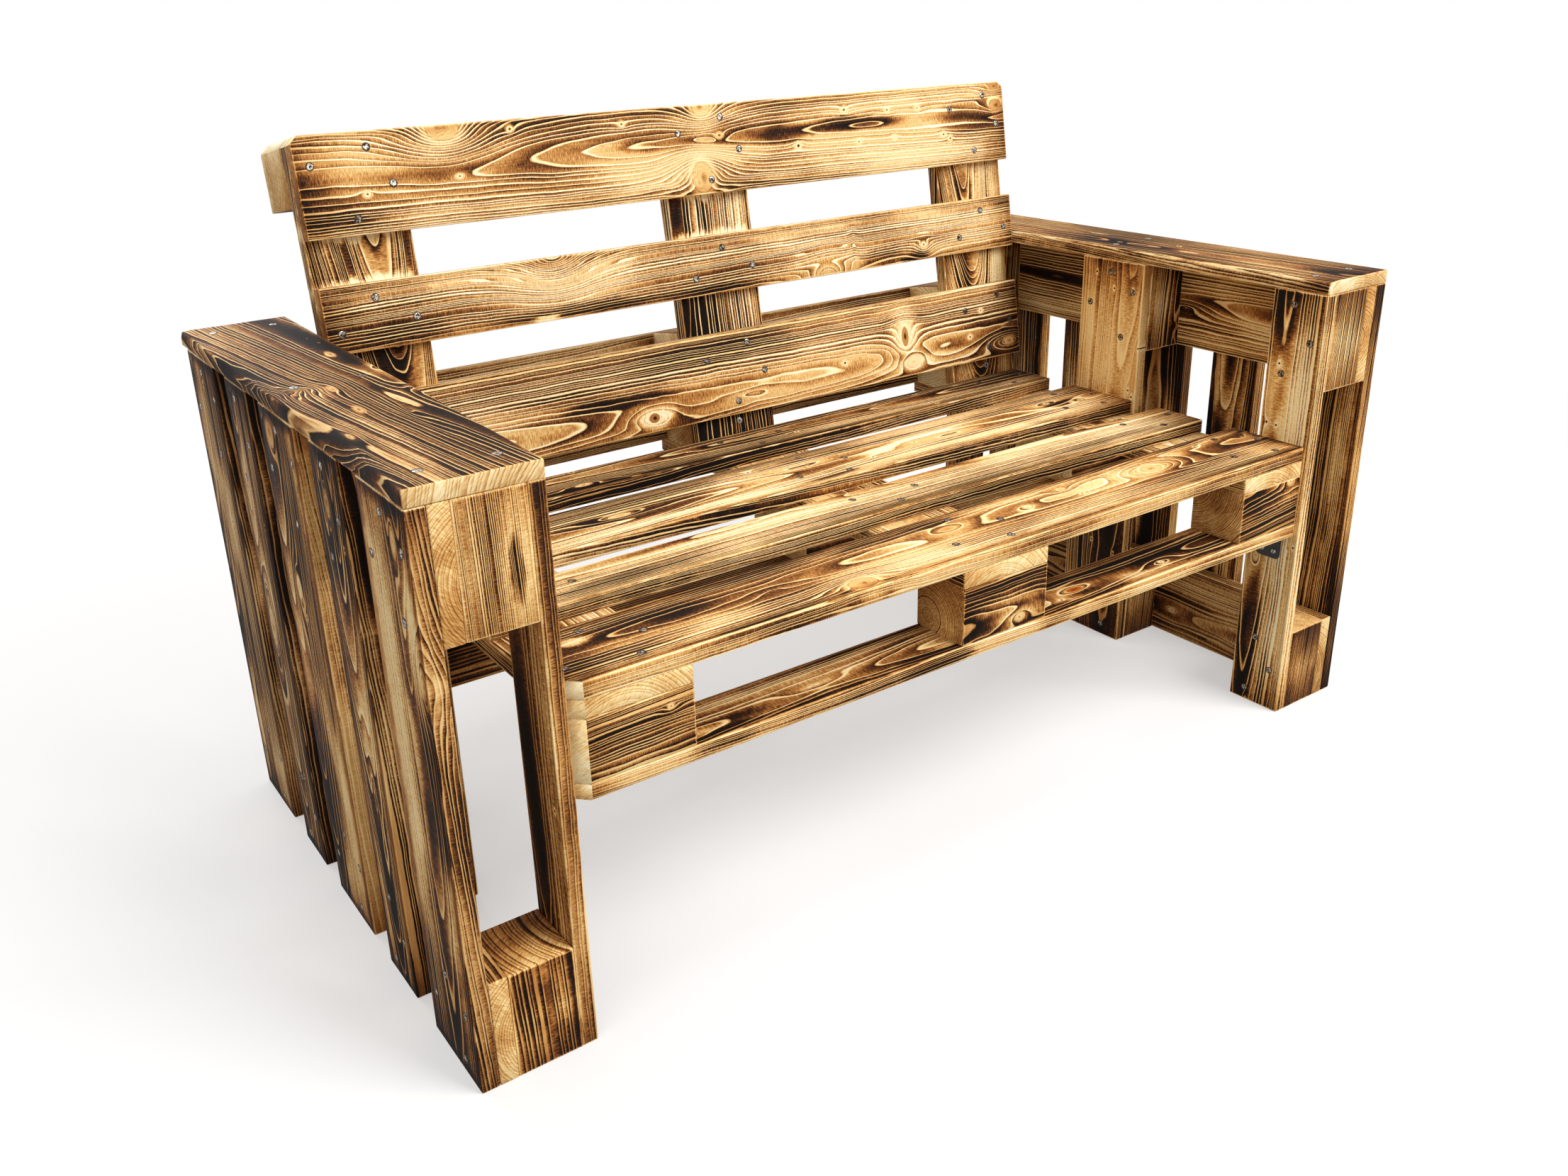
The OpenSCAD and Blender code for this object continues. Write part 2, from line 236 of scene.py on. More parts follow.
# A knot bends the grain round itself, lifts the year rings into loops, and has a core of its own.
# kind is the nearest knot's own look: how dark its heart is, how burnt its core is, and how red.
def makeKnotGroup():
    w, given, out = newGroup(
        "growthKnot",
        {"grain": (0, 0, 0), "lift": 0, "core": 9, "kind": (0, 0, 0), "centre": (0, 0, 0), "plane": (1, 1, 0),
         "reach": (1, 1, 1), "bend": 0, "rise": 0, "size": (1, 1, 1), "ownKind": (0, 0, 0)},
        {"grain": "Vector", "lift": "Float", "core": "Float", "kind": "Vector"})
    away = w.vector("MULTIPLY", w.vector("SUBTRACT", given["grain"], given["centre"]), given["plane"])
    reach = w.distance(away, given["reach"])
    bulge = w.math("EXPONENT", w.times(w.times(reach, reach), -1.0))
    pull = w.times(bulge, given["bend"])
    moved = w.vector("MULTIPLY", away, w.join(0.0, pull, pull))
    w.feed(out["grain"], w.vector("SUBTRACT", given["grain"], moved))
    peak = w.math("EXPONENT", w.times(reach, -1.7))
    w.feed(out["lift"], w.times(peak, given["rise"], given["lift"]))
    core = w.distance(away, given["size"])
    nearer = w.math("LESS_THAN", core, given["core"])
    w.feed(out["core"], w.math("MINIMUM", core, given["core"]))
    w.feed(out["kind"], w.blend(nearer, given["kind"], given["ownKind"], "VECTOR"))
    return w.tree


# A soft-edged place that the flame burnt more, or that stayed paler
def makeMarkGroup():
    w, given, out = newGroup(
        "flameMark",
        {"grain": (0, 0, 0), "mark": 0, "centre": (0, 0, 0), "plane": (1, 1, 0), "reach": (1, 1, 1),
         "amount": 0},
        {"mark": "Float"})
    away = w.vector("MULTIPLY", w.vector("SUBTRACT", given["grain"], given["centre"]), given["plane"])
    strength = w.fadeOut(w.distance(away, given["reach"]), 0.45, 1.35)
    w.feed(out["mark"], w.times(strength, given["amount"], given["mark"]))
    return w.tree


# What a board's look gives to the wood group, all of them numbers
woodNumbers = (
    "seed", "pithAcross", "pithDepth", "leanAcross", "leanDepth", "ring", "wave", "lineShare", "lineBurn",
    "bandBurn", "patch", "ticks", "edgeWearAndHighlight", "edgeScorch", "endScorch", "endBurn", "pins", "jag", "endLines")


# Flamed and brushed softwood. Burn runs from 0, bare pale wood, to 1, charred.
def makeWoodGroup():
    w, given, out = newGroup(
        "flamedGrain",
        {"grain": (0, 0, 0), "lift": 0, "core": 9, "kind": (0, 0, 0), "mark": 0, "box": (0, 0, 0),
         "half": (1, 1, 1), "sawn": 0, **dict.fromkeys(woodNumbers, 0)},
        {"burn": "Float", "red": "Float", "height": "Float", "roughness": "Float"})
    seed, wave, mark, core, sawn = (given[label] for label in ("seed", "wave", "mark", "core", "sawn"))
    start = w.vector("MULTIPLY", w.join(seed, seed, seed), (3.17, 7.31, 5.93))
    place = w.vector("ADD", given["grain"], start)

    # pin knots, scattered in long cells
    cells = w.add("ShaderNodeTexVoronoi", voronoi_dimensions="2D")
    inCells = w.vector("MULTIPLY", place, repeats["pinCells"])
    w.fill(cells, Vector=inCells, Scale=1.0)
    toPin = w.vector("SUBTRACT", inCells, cells.outputs["Position"])
    toPin = w.vector("MULTIPLY", w.vector("DIVIDE", toPin, repeats["pinCells"]), (1, 1, 0))
    present = w.math("LESS_THAN", w.split(cells.outputs["Color"])[0], given["pins"])
    pinHalo = w.distance(toPin, sizes["pinHalo"])
    pinHole = w.times(w.fadeOut(w.vector("LENGTH", toPin), *sizes["pinHole"]), present)
    pinGlow = w.times(w.fadeOut(pinHalo, 0.35, 1.0), present)
    pinPush = w.times(w.math("EXPONENT", w.times(pinHalo, -0.8)), present)

    # distance from the pith, in year rings
    sway = w.shake(place, repeats["sway"], 1.0, 0.5)
    swayed = w.vector("MULTIPLY_ADD", sway, w.join(wave, wave, wave), given["grain"])
    tremble = w.shake(place, repeats["tremble"], 1.0, 0.55)
    x, y, z = w.split(w.vector("MULTIPLY_ADD", tremble, sizes["tremble"], swayed))
    across = w.less(y, w.times(x, given["leanAcross"], given["pithAcross"]))
    depth = w.less(z, w.times(x, given["leanDepth"], given["pithDepth"]))
    radius = w.vector("LENGTH", w.join(across, depth, 0.0))
    gx, gy, gz = w.split(w.vector("SUBTRACT", given["half"], w.vector("ABSOLUTE", given["box"])))
    onSide = w.math("LESS_THAN", gy, gz)
    slope = w.math("DIVIDE", w.math("ABSOLUTE", w.blend(onSide, across, depth)), radius)
    jag = w.shiver(place, repeats["jag"], 1.0, 0.6)
    radius = w.times(w.times(jag, slope), given["jag"], radius)
    rings = w.math("DIVIDE", radius, given["ring"])
    uneven = w.add("ShaderNodeTexNoise", noise_dimensions="1D")
    w.fill(uneven, W=w.times(rings, 0.31, seed), Scale=1.0, Detail=1.0)
    rings = w.math("ADD", w.times(uneven.outputs["Fac"], 2.6, rings), given["lift"])
    rings = w.times(pinPush, 0.7, rings)
    phase = w.math("FRACT", rings)
    ringDice = w.add("ShaderNodeTexWhiteNoise", noise_dimensions="1D")
    dice = w.fill(ringDice, W=w.times(seed, 17.3, w.math("FLOOR", rings)))["Value"]

    # each ring: a pale raised line, then a burnt band that is darkest beside the line
    share = w.times(given["lineShare"], w.times(dice, 0.9, 0.55))
    share = w.times(share, w.fade(slope, 0.05, 0.65, 0.38, 1.0))
    lineStart = w.less(1.0, share)
    rise = w.fade(phase, w.less(lineStart, 0.10), w.math("ADD", lineStart, 0.02))
    line = w.times(rise, w.fadeOut(phase, 0.94, 1.0))
    notLine = w.less(1.0, line)
    toLine = w.less(1.0, w.math("DIVIDE", phase, lineStart))
    nearLine = w.times(toLine, toLine)
    band = w.times(w.times(nearLine, 0.62, 0.68), w.times(dice, 0.5, 0.75))
    band = w.times(band, given["bandBurn"])

    # how deep the flame bit, in patches, and the marks of fibres and brush
    patch = w.fade(w.noise(place, repeats["patches"], 3.0, 0.55), 0.30, 0.70, -0.42, 0.42)
    patch = w.times(mark, 0.6, w.times(patch, given["patch"]))
    fibre = w.shiver(place, repeats["fibres"], 2.0, 0.6)
    tick = w.shiver(place, repeats["ticks"], 1.0, 0.5)
    ticks = w.times(tick, given["ticks"])
    band = w.pile(band, (ticks, 2.4), (patch, 1.5))
    palest = w.pile(0.23, (w.math("MINIMUM", mark, 0.0), 0.35), (ticks, 0.9))
    band = w.math("SMOOTH_MAX", band, palest, 0.12)
    burn = w.blend(line, band, w.times(patch, 0.45, given["lineBurn"]))
    burn = w.times(fibre, 0.22, burn)

    # knot core, with its own fine rings and a dark rim
    heart, coreBurn, red = w.split(given["kind"])
    inside = w.fadeOut(core, 0.94, 1.06)
    warped = w.times(w.noise(place, repeats["knotRings"], 1.0), 0.9, core)
    coreRings = w.math("PINGPONG", w.times(warped, 5.5), 0.5)
    coreBurn = w.times(w.fadeOut(warped, 0.45, 0.95), heart, w.times(coreRings, 0.26, coreBurn))
    rim = w.fadeOut(w.math("ABSOLUTE", w.less(core, 1.03)), 0.0, 0.09)
    burn = w.times(w.times(rim, w.math("ADD", heart, 0.15)), 0.5, w.blend(inside, burn, coreBurn))
    halo = w.times(w.fadeOut(core, 1.08, 1.75), w.less(1.0, inside))
    burn = w.times(w.times(halo, burn), -0.55, burn)
    burn = w.times(w.times(pinGlow, burn), -0.75, burn)
    burn = w.times(pinHole, 0.75, burn)
    w.feed(out["red"], w.times(w.fadeOut(core, 0.8, 1.5), red))

    # arrises: pale on the edge itself, as wear and a painted highlight along every arris, scorched beside it,
    # and scorched ends
    least = w.math("MINIMUM", gx, w.math("MINIMUM", gy, gz))
    most = w.math("MAXIMUM", gx, w.math("MAXIMUM", gy, gz))
    second = w.less(w.less(w.math("ADD", gx, w.math("ADD", gy, gz)), least), most)
    ragged = w.noise(place, repeats["arris"], 3.0, 0.6)
    worn = w.fadeOut(w.times(ragged, -0.0040, second), *sizes["wornAndHighlitStrip"])
    scorch = w.fadeOut(w.times(ragged, -0.016, second), *sizes["scorchedStrip"])
    scorch = w.times(scorch, w.blend(onSide, 1.0, 0.3))
    endFade = w.fadeOut(w.times(ragged, -0.05, gx), *sizes["scorchedEnd"])
    burn = w.pile(burn, (scorch, given["edgeScorch"]), (endFade, given["endScorch"]))
    burn = w.times(w.times(worn, burn), w.times(given["edgeWearAndHighlight"], -1.0), burn)

    # sawn end grain: pale, with soft rings and slanting saw marks
    end = w.math("MAXIMUM", w.fadeOut(gx, *sizes["endGrain"]), sawn)
    ex, ey, ez = w.split(place)
    slant = w.join(w.math("ADD", ey, ez), w.less(ey, ez), ex)
    saw = w.shiver(slant, repeats["sawMarks"], 2.0, 0.65)
    endShow = w.times(given["endLines"], w.blend(sawn, 1.6, 0.3))
    endBurn = w.times(w.times(nearLine, notLine), endShow, w.blend(sawn, given["endBurn"], 0.13))
    burn = w.blend(end, burn, w.pile(endBurn, (saw, 0.55), (patch, 0.7)))

    onBand = w.times(tick, notLine)
    height = w.pile(0.6, (notLine, -0.55), (fibre, 0.35), (onBand, 0.4), (pinHole, -0.8), (rim, -0.3))
    w.feed(out["height"], w.blend(end, height, w.times(saw, 1.2, 0.5)))
    w.feed(out["burn"], w.math("MINIMUM", w.math("MAXIMUM", burn, 0.0), 1.0))
    w.feed(out["roughness"], w.times(burn, 0.14, 0.60))
    return w.tree


# Burn to colour: a golden wood, a greyer one, and one that resin turned red
woodColours = {
    "golden": [(0.00, 255, 247, 212), (0.14, 252, 224, 160), (0.30, 224, 173, 100), (0.46, 182, 121, 60),
               (0.62, 117, 68, 31), (0.80, 50, 27, 13), (1.00, 15, 9, 6)],
    "grey": [(0.00, 238, 220, 188), (0.14, 212, 186, 144), (0.30, 176, 142, 100), (0.46, 136, 98, 60),
             (0.62, 90, 57, 31), (0.80, 42, 24, 12), (1.00, 15, 9, 5)],
    "resin": [(0.00, 246, 178, 84), (0.33, 214, 120, 40), (0.66, 128, 52, 18), (1.00, 40, 18, 12)],
}


def makeToneGroup():
    w, given, out = newGroup("flameTone", {"burn": 0, "grey": 0, "red": 0}, {"colour": "Color"})
    golden, grey, resin = (w.ramp(given["burn"], *((place, tone(*colour)) for place, *colour in stops))
                           for stops in woodColours.values())
    plain = w.blend(given["grey"], golden, grey, "RGBA")
    w.feed(out["colour"], w.blend(given["red"], plain, resin, "RGBA"))
    return w.tree


knotGroup = makeKnotGroup()
markGroup = makeMarkGroup()
woodGroup = makeWoodGroup()
toneGroup = makeToneGroup()

# What a plain flamed board looks like. Boards below change what differs on them.
plainBoard = {
    "pith": (0.02, -0.06), "lean": (0.01, 0.012), "ring": 0.0034, "wave": 0.012, "jag": 0.0007,
    "lineShare": 0.26, "lineBurn": 0.08, "bandBurn": 0.60, "patch": 0.45, "ticks": 0.26,
    "edgeWearAndHighlight": 0.6, "edgeScorch": 0.10, "endScorch": 0.20, "endBurn": 0.14, "endLines": 0.16,
    "pins": 0.10, "grey": 0.15, "bump": 0.35, "shine": 0.10, "knots": [], "marks": [],
}


# Knots and marks lie on a board's broad face, at x and y from its middle, or on the front of a block
def facing(at, front, ball=0):
    x, y = at
    return {"centre": (x, 0, y) if front else (x, y, 0), "plane": (1, 0, 1) if front else (1, 1, ball)}


def knot(at, size, reach, rise, long=1.25, bend=0.7, heart=0.25, core=0.14, red=0, front=False, ball=0):
    return {**facing(at, front, ball), "reach": (reach[0], reach[1], reach[1]), "bend": bend, "rise": rise,
            "size": (size * long, size, size), "ownKind": (heart, core, red)}


# A pin knot, with a black dot in a pale eye
def pin(x, y, size=0.0042, rise=0.8):
    return knot((x, y), size, (0.014, 0.007), rise, heart=0.75, core=0.02, bend=0.4)


# A bump has no core, and only leads the year rings aside
def bump(x, y, long, wide, rise):
    return knot((x, y), 0.00001, (long, wide), rise, bend=0.0)


# A long pale eye
def lens(x, y, size=0.0065):
    return knot((x, y), size * 0.55, (0.035, 0.011), 1.2, long=3.6, bend=0.35, core=0.22)


def makeWood(name, settings):
    look = {**plainBoard, **settings}
    for key in ("pith", "lean"):
        look[key + "Across"], look[key + "Depth"] = look[key]
    material, w, shader = newMaterial(name)
    grain, mark = w.attribute("grain"), 0.0
    if look["marks"]:
        edge = w.shake(grain, repeats["markEdge"], 2.0, 0.6)
        ragged = w.vector("MULTIPLY_ADD", edge, sizes["markEdge"], grain)
    for x, y, long, wide, amount, *front in look["marks"]:
        place = facing((x, y), front)
        reach = (long, wide, wide)
        mark = w.use(markGroup, grain=ragged, mark=mark, reach=reach, amount=amount, **place)["mark"]
    lift, core, kind = 0.0, 9.0, (0, 0, 0)
    for each in look["knots"]:
        bent = w.use(knotGroup, grain=grain, lift=lift, core=core, kind=kind, **each)
        grain, lift, core, kind = (bent[label] for label in ("grain", "lift", "core", "kind"))
    numbers = {key: look[key] for key in woodNumbers}
    wood = w.use(woodGroup, grain=grain, lift=lift, core=core, kind=kind, mark=mark, box=w.attribute("box"),
                 half=w.attribute("half"), sawn=w.attribute("sawn", "Fac"), **numbers)
    colour = w.use(toneGroup, burn=wood["burn"], red=wood["red"], grey=look["grey"])
    w.feed(shader["Base Color"], colour["colour"])
    w.feed(shader["Roughness"], wood["roughness"])
    w.feed(shader["Normal"], w.bump(wood["height"], look["bump"], sizes["relief"]))
    shader["Specular IOR Level"].default_value = look["shine"]
    return material


# Each pallet's own directions: x along its deck boards, y across them, z out of the deck
backTilt = math.radians(9)
turns = {
    "seat": Matrix.Identity(3),
    "back": Matrix.Rotation(math.pi / 2 - backTilt, 3, "X"),
    "left_arm": Matrix(((0, 0, -1), (0, 1, 0), (1, 0, 0))),
    "right_arm": Matrix(((0, 0, 1), (0, -1, 0), (1, 0, 0))),
}
sideways = Matrix.Rotation(math.pi / 2, 3, "Z")


# The separate solids of a node, as corner points turned into a pallet's directions
def solidsOf(node, turn):
    bm = bmesh.new()
    bm.from_mesh(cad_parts[node].data)
    bmesh.ops.remove_doubles(bm, verts=bm.verts, dist=1e-5)
    bm.verts.ensure_lookup_table()
    seen, solids = set(), []
    back = turn.transposed()
    for start in bm.verts:
        if start.index in seen:
            continue
        seen.add(start.index)
        front, points = [start], []
        while front:
            vert = front.pop()
            points.append(back @ vert.co)
            for edge in vert.link_edges:
                other = edge.other_vert(vert)
                if other.index not in seen:
                    seen.add(other.index)
                    front.append(other)
        solids.append(points)
    bm.free()
    return sorted(solids, key=lambda points: [round(min(p[i] for p in points), 3) for i in (0, 1)])


def boxOf(points):
    return [Vector(pick(p[i] for p in points) for i in range(3)) for pick in (min, max)]


def openRim(bm):
    return [e for e in bm.edges if e.is_boundary]


def newVerts(found):
    return [v for v in found["geom"] if isinstance(v, bmesh.types.BMVert)]


def addTo(whole, bm):
    part = bpy.data.meshes.new("part")
    bm.to_mesh(part)
    bm.free()
    whole.from_mesh(part)
    bpy.data.meshes.remove(part)


def pieceName(node):
    first, *rest = node.split("_")
    return first + "".join(word.capitalize() for word in rest)


def finishPiece(bm, node, slot, *materials):
    name = pieceName(node)
    mesh = bpy.data.meshes.new(name)
    bm.to_mesh(mesh)
    bm.free()
    for material in materials:
        mesh.materials.append(material)
    mesh.shade_smooth()
    mesh.set_sharp_from_angle(angle=math.radians(50))
    piece = bpy.data.objects.new(name, mesh)
    bpy.context.scene.collection.objects.link(piece)
    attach(piece, "root")
    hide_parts(node)


# Every timber: how finely it is divided, its worn arrises, how far its faces bow and are nicked, how often
# these repeat in a metre, and how it differs from the next one
timber = {
    "step": 0.045, "corner": 0.6, "arris": 0.0018, "bow": 0.0005, "bowRepeat": (4, 12, 12), "nick": 0.00022,
    "nickRepeat": 55, "shake": (3.7, 1.3, 2.9), "waneRepeat": 6, "waneRipple": 17, "rippleShare": 0.25,
    "blockStep": 0.9, "blockShift": (0.03, 0.02),
}


# Noise in three parts, each from -1 to 1
def unevenness(place):
    offsets = ((9.3, -1.5, -7.9), (0, 0, 0), (6.3, 0.2, -2.7))
    return Vector([noise.noise(place + Vector(offset)) for offset in offsets])


# One board or block, in its own directions: x along the grain, y across it, z out of the deck
def shapeTimber(size, form, planes, seed):
    half = size / 2
    bm = bmesh.new()
    bmesh.ops.create_cube(bm, size=1.0)
    bmesh.ops.scale(bm, vec=size, verts=bm.verts)
    for axis in range(3):
        along = [e for e in bm.edges if abs((e.verts[0].co - e.verts[1].co)[axis]) > 0.9 * size[axis]]
        cuts = max(0, round(size[axis] / form.get("step", timber["step"])) - 1)
        if cuts:
            bmesh.ops.subdivide_edges(bm, edges=along, cuts=cuts, use_grid_fill=True)
    for point, normal in planes:
        bmesh.ops.bisect_plane(bm, geom=bm.verts[:] + bm.edges[:] + bm.faces[:], dist=1e-6,
                               plane_co=point, plane_no=normal, clear_outer=True)
        if openRim(bm):
            bmesh.ops.contextual_create(bm, geom=openRim(bm))

    def isSawn(face):
        return any(face.normal.dot(normal) > 0.95 and abs(normal.x) > 0.1 for point, normal in planes)

    corners = [e for e in bm.edges if len(e.link_faces) == 2 and e.calc_face_angle(0) > timber["corner"]]
    worn = [e for e in corners if not any(isSawn(face) for face in e.link_faces)]
    bmesh.ops.bevel(bm, geom=worn, offset=timber["arris"], segments=2, profile=0.5, affect="EDGES",
                    material=-1, clamp_overlap=True)
    sawn = bm.faces.layers.float.new("sawn")
    for face in bm.faces:
        face[sawn] = float(isSawn(face))
    shake = Vector([share * seed for share in timber["shake"]])
    for vert in bm.verts:
        bow = unevenness(vert.co * Vector(timber["bowRepeat"]) + shake)
        nick = unevenness(vert.co * timber["nickRepeat"] + shake)
        vert.co += Vector((0, bow.y, bow.z)) * timber["bow"] + nick * timber["nick"]
    for vert in bm.verts if "wane" in form else []:
        wander = noise.noise(Vector((vert.co.x * timber["waneRepeat"], seed, 0.0)))
        ripple = noise.noise(Vector((vert.co.x * timber["waneRipple"], seed, 3.0)))
        wander += timber["rippleShare"] * ripple
        reach = form["wane"] * max(0.0, 0.45 + 0.9 * wander)
        left = reach - (half.y - vert.co.y) - 0.8 * (half.z - vert.co.z)
        if left > 0:
            vert.co.y -= left * 0.55
            vert.co.z -= left * 0.45
    for vert in bm.verts:
        vert.co = Vector(max(-half[i], min(half[i], vert.co[i])) for i in range(3))
    return bm


# A whole node of timber: one solid, or a row of blocks. Its name tells its pallet and its kind.
# Armrests go with the seat. They and the stringers lie across the deck boards.
def makeTimber(node, look, form={}):
    turn = next((turns[pallet] for pallet in turns if node.startswith(pallet + "_")), turns["seat"])
    kind = next(kind for kind in ("deck", "stringer", "block", "skid", "armrest") if kind in node)
    crosswise = kind in ("stringer", "armrest")
    grainTurn = sideways if crosswise else Matrix.Identity(3)
    unturn = grainTurn.transposed()
    toWorld = turn @ grainTurn
    whole = bmesh.new()
    dice = random.Random(node)
    look = {"seed": dice.uniform(0, 40), **look}
    for number, points in enumerate(solidsOf(node, turn)):
        low, high = boxOf(points)
        centre, size = (low + high) / 2, high - low
        planes = []
        for point, normal in form.get("worldPlanes", []):
            local = unturn @ (turn.transposed() @ Vector(point) - centre)
            planes.append((local, toWorld.transposed() @ Vector(normal)))
        for signX, signY, cut in form.get("corners", []):
            corner = Vector((signX * size.x / 2, signY * size.y / 2, 0))
            if abs(centre.x + corner.x) > form["reach"] - 0.001:
                normal = Vector((signX, signY, 0)).normalized()
                planes.append((unturn @ (corner - Vector((signX * cut, 0, 0))), unturn @ normal))
        if crosswise:
            size.x, size.y = size.y, size.x
        bm = shapeTimber(size, form, planes, look["seed"] + number)
        shift = Vector((0, 0, 0))
        if number:
            across, depth = (dice.uniform(-most, most) for most in timber["blockShift"])
            shift = Vector((timber["blockStep"] * number, across, depth))
        grain, box, reach = (bm.verts.layers.float_vector.new(name) for name in ("grain", "box", "half"))
        for vert in bm.verts:
            vert[grain], vert[box], vert[reach] = vert.co + shift, vert.co, size / 2
        bmesh.ops.transform(bm, matrix=Matrix.Translation(turn @ centre) @ toWorld.to_4x4(), verts=bm.verts)
        addTo(whole, bm)
    finishPiece(whole, node, kind + "_wood", makeWood(pieceName(node), look))


# Seat
seatForm = dict(corners=[(-1, -1, 0.021), (1, -1, 0.006)], reach=0.6)
seatBoards = {
    "seat_deck_board_1": dict(
        pith=(0.014, -0.06), lean=(0.01, 0.01), ring=0.0024, bandBurn=0.5, lineShare=0.3, lineBurn=0.08,
        patch=0.5, grey=0.1, pins=0.05, wave=0.008, edgeScorch=0.3,
        knots=[
            knot((0.357, 0.015), 0.012, (0.09, 0.036), 9, long=1.4, core=0.16, heart=0.25),
            knot((-0.208, -0.046), 0.013, (0.06, 0.026), 5, long=1.5, core=0.2),
            knot((0.114, 0.013), 0.005, (0.03, 0.015), 2, core=0.05),
            knot((0.196, 0.033), 0.004, (0.03, 0.015), 2),
            knot((-0.02, 0.02), 0.004, (0.05, 0.02), 3, long=2.5, red=0.8), bump(-0.3, 0, 0.1, 0.03, 2)],
        marks=[(-0.49, 0.026, 0.12, 0.035, 0.42), (-0.545, 0.024, 0.022, 0.01, -0.7),
               (0.3, 0.015, 0.1, 0.03, -0.1), (-0.08, 0.045, 0.1, 0.012, 0.45),
               (0.02, -0.03, 0.1, 0.02, 0.25), (0.5, 0.02, 0.07, 0.02, 0.3), (-0.52, -0.03, 0.1, 0.02, 0.35),
               (-0.3, 0.05, 0.1, 0.012, 0.3), (0.52, -0.055, 0.08, 0.01, 0.35), (0.1, 0, 0.2, 0.05, -0.12),
               # the last mark: the edge beside the gap, charred and darkened further as painted shade of the
               # gap
               (0, 0.064, 0.7, 0.005, 0.6)]),
    "seat_deck_board_2": dict(
        pith=(0.035, -0.06), lean=(0.012, 0.01), ring=0.0019, bandBurn=0.62, lineShare=0.29,
        patch=0.5, pins=0.04,
        marks=[(-0.42, -0.02, 0.1, 0.012, 0.5), (0.1, -0.036, 0.25, 0.008, 0.7),
               (0.42, -0.02, 0.1, 0.01, 0.4), (-0.2, 0.02, 0.2, 0.02, -0.25), (0.3, 0.02, 0.2, 0.02, -0.2),
               # these two marks: the front edge beside the gap, charred and darkened further as painted shade
               # of the gap
               (0.28, -0.046, 0.2, 0.005, 0.6), (-0.45, -0.046, 0.2, 0.004, 0.5)]),
    "seat_deck_board_3": dict(
        pith=(-0.005, -0.04), lean=(0.016, -0.01), ring=0.0032, bandBurn=0.61, lineShare=0.27, patch=0.55,
        knots=[
            knot((-0.321, 0.001), 0.006, (0.09, 0.018), 3.5, long=3, heart=0.3),
            knot((0.48, 0.012), 0.004, (0.06, 0.02), 2.5), bump(-0.02, 0.01, 0.14, 0.02, 2.5),
            bump(0.25, -0.01, 0.12, 0.02, 2)],
        marks=[(-0.33, 0, 0.06, 0.014, 0.45), (0.5, -0.002, 0.035, 0.012, 0.7), (0, -0.05, 0.05, 0.006, 0.6),
               (-0.22, -0.045, 0.2, 0.012, -0.35), (0.3, -0.045, 0.2, 0.012, -0.2),
               # the last mark: the front edge beside the gap, charred and darkened further as painted shade
               # of the gap
               (0.14, 0.03, 0.1, 0.01, 0.35), (0, -0.066, 0.7, 0.005, 0.5)]),
    "seat_deck_board_4": dict(
        pith=(0.015, -0.04), lean=(-0.01, 0.01), ring=0.0026, bandBurn=0.76, lineBurn=0.14,
        lineShare=0.24, patch=0.4, grey=0.3,
        knots=[knot((-0.3, -0.022), 0.005, (0.1, 0.02), 4, long=2)],
        marks=[(-0.2, -0.036, 0.4, 0.01, 0.6), (0.3, -0.036, 0.3, 0.008, 0.4)]),
}
for node, look in seatBoards.items():
    makeTimber(node, look, seatForm if node.endswith("1") else {})
for node, seed in (("seat_left_stringer", 3), ("seat_middle_stringer", 8), ("seat_right_stringer", 5)):
    makeTimber(node, dict(seed=seed, ring=0.004, bandBurn=0.52, endBurn=0.2, pins=0), seatForm)
blockLook = dict(
    ring=0.0038, bandBurn=0.76, lineBurn=0.14, lineShare=0.34, patch=0.5, pins=0, jag=0.0006,
    endBurn=0.22, endScorch=0.25, edgeScorch=0.18, wave=0.008,
)
makeTimber("seat_front_blocks", dict(
    blockLook, pith=(0.035, -0.06), lean=(0.02, 0.05), ring=0.0024, bandBurn=0.8, lineShare=0.28, seed=11,
    lineBurn=0.22, patch=0.4, endBurn=0.3, endLines=0.3, endScorch=0.1,
    knots=[
        knot((0.045, 0.02), 0.0032, (0.014, 0.008), 1.5, front=True, core=0.1),
        knot((0.925, -0.025), 0.005, (0.02, 0.012), 3, front=True, core=0.05),
        knot((1.84, 0.022), 0.005, (0.02, 0.014), 3, front=True, core=0.05)],
    marks=[(0, 0.004, 0.06, 0.024, 0.35, True), (0, -0.035, 0.07, 0.008, -0.25, True),
           (0.88, 0.026, 0.05, 0.008, 0.3, True), (0.91, -0.012, 0.08, 0.026, -0.5, True),
           (1.8, 0.03, 0.08, 0.007, -0.35, True), (1.78, 0, 0.05, 0.02, 0.35, True)]), seatForm)
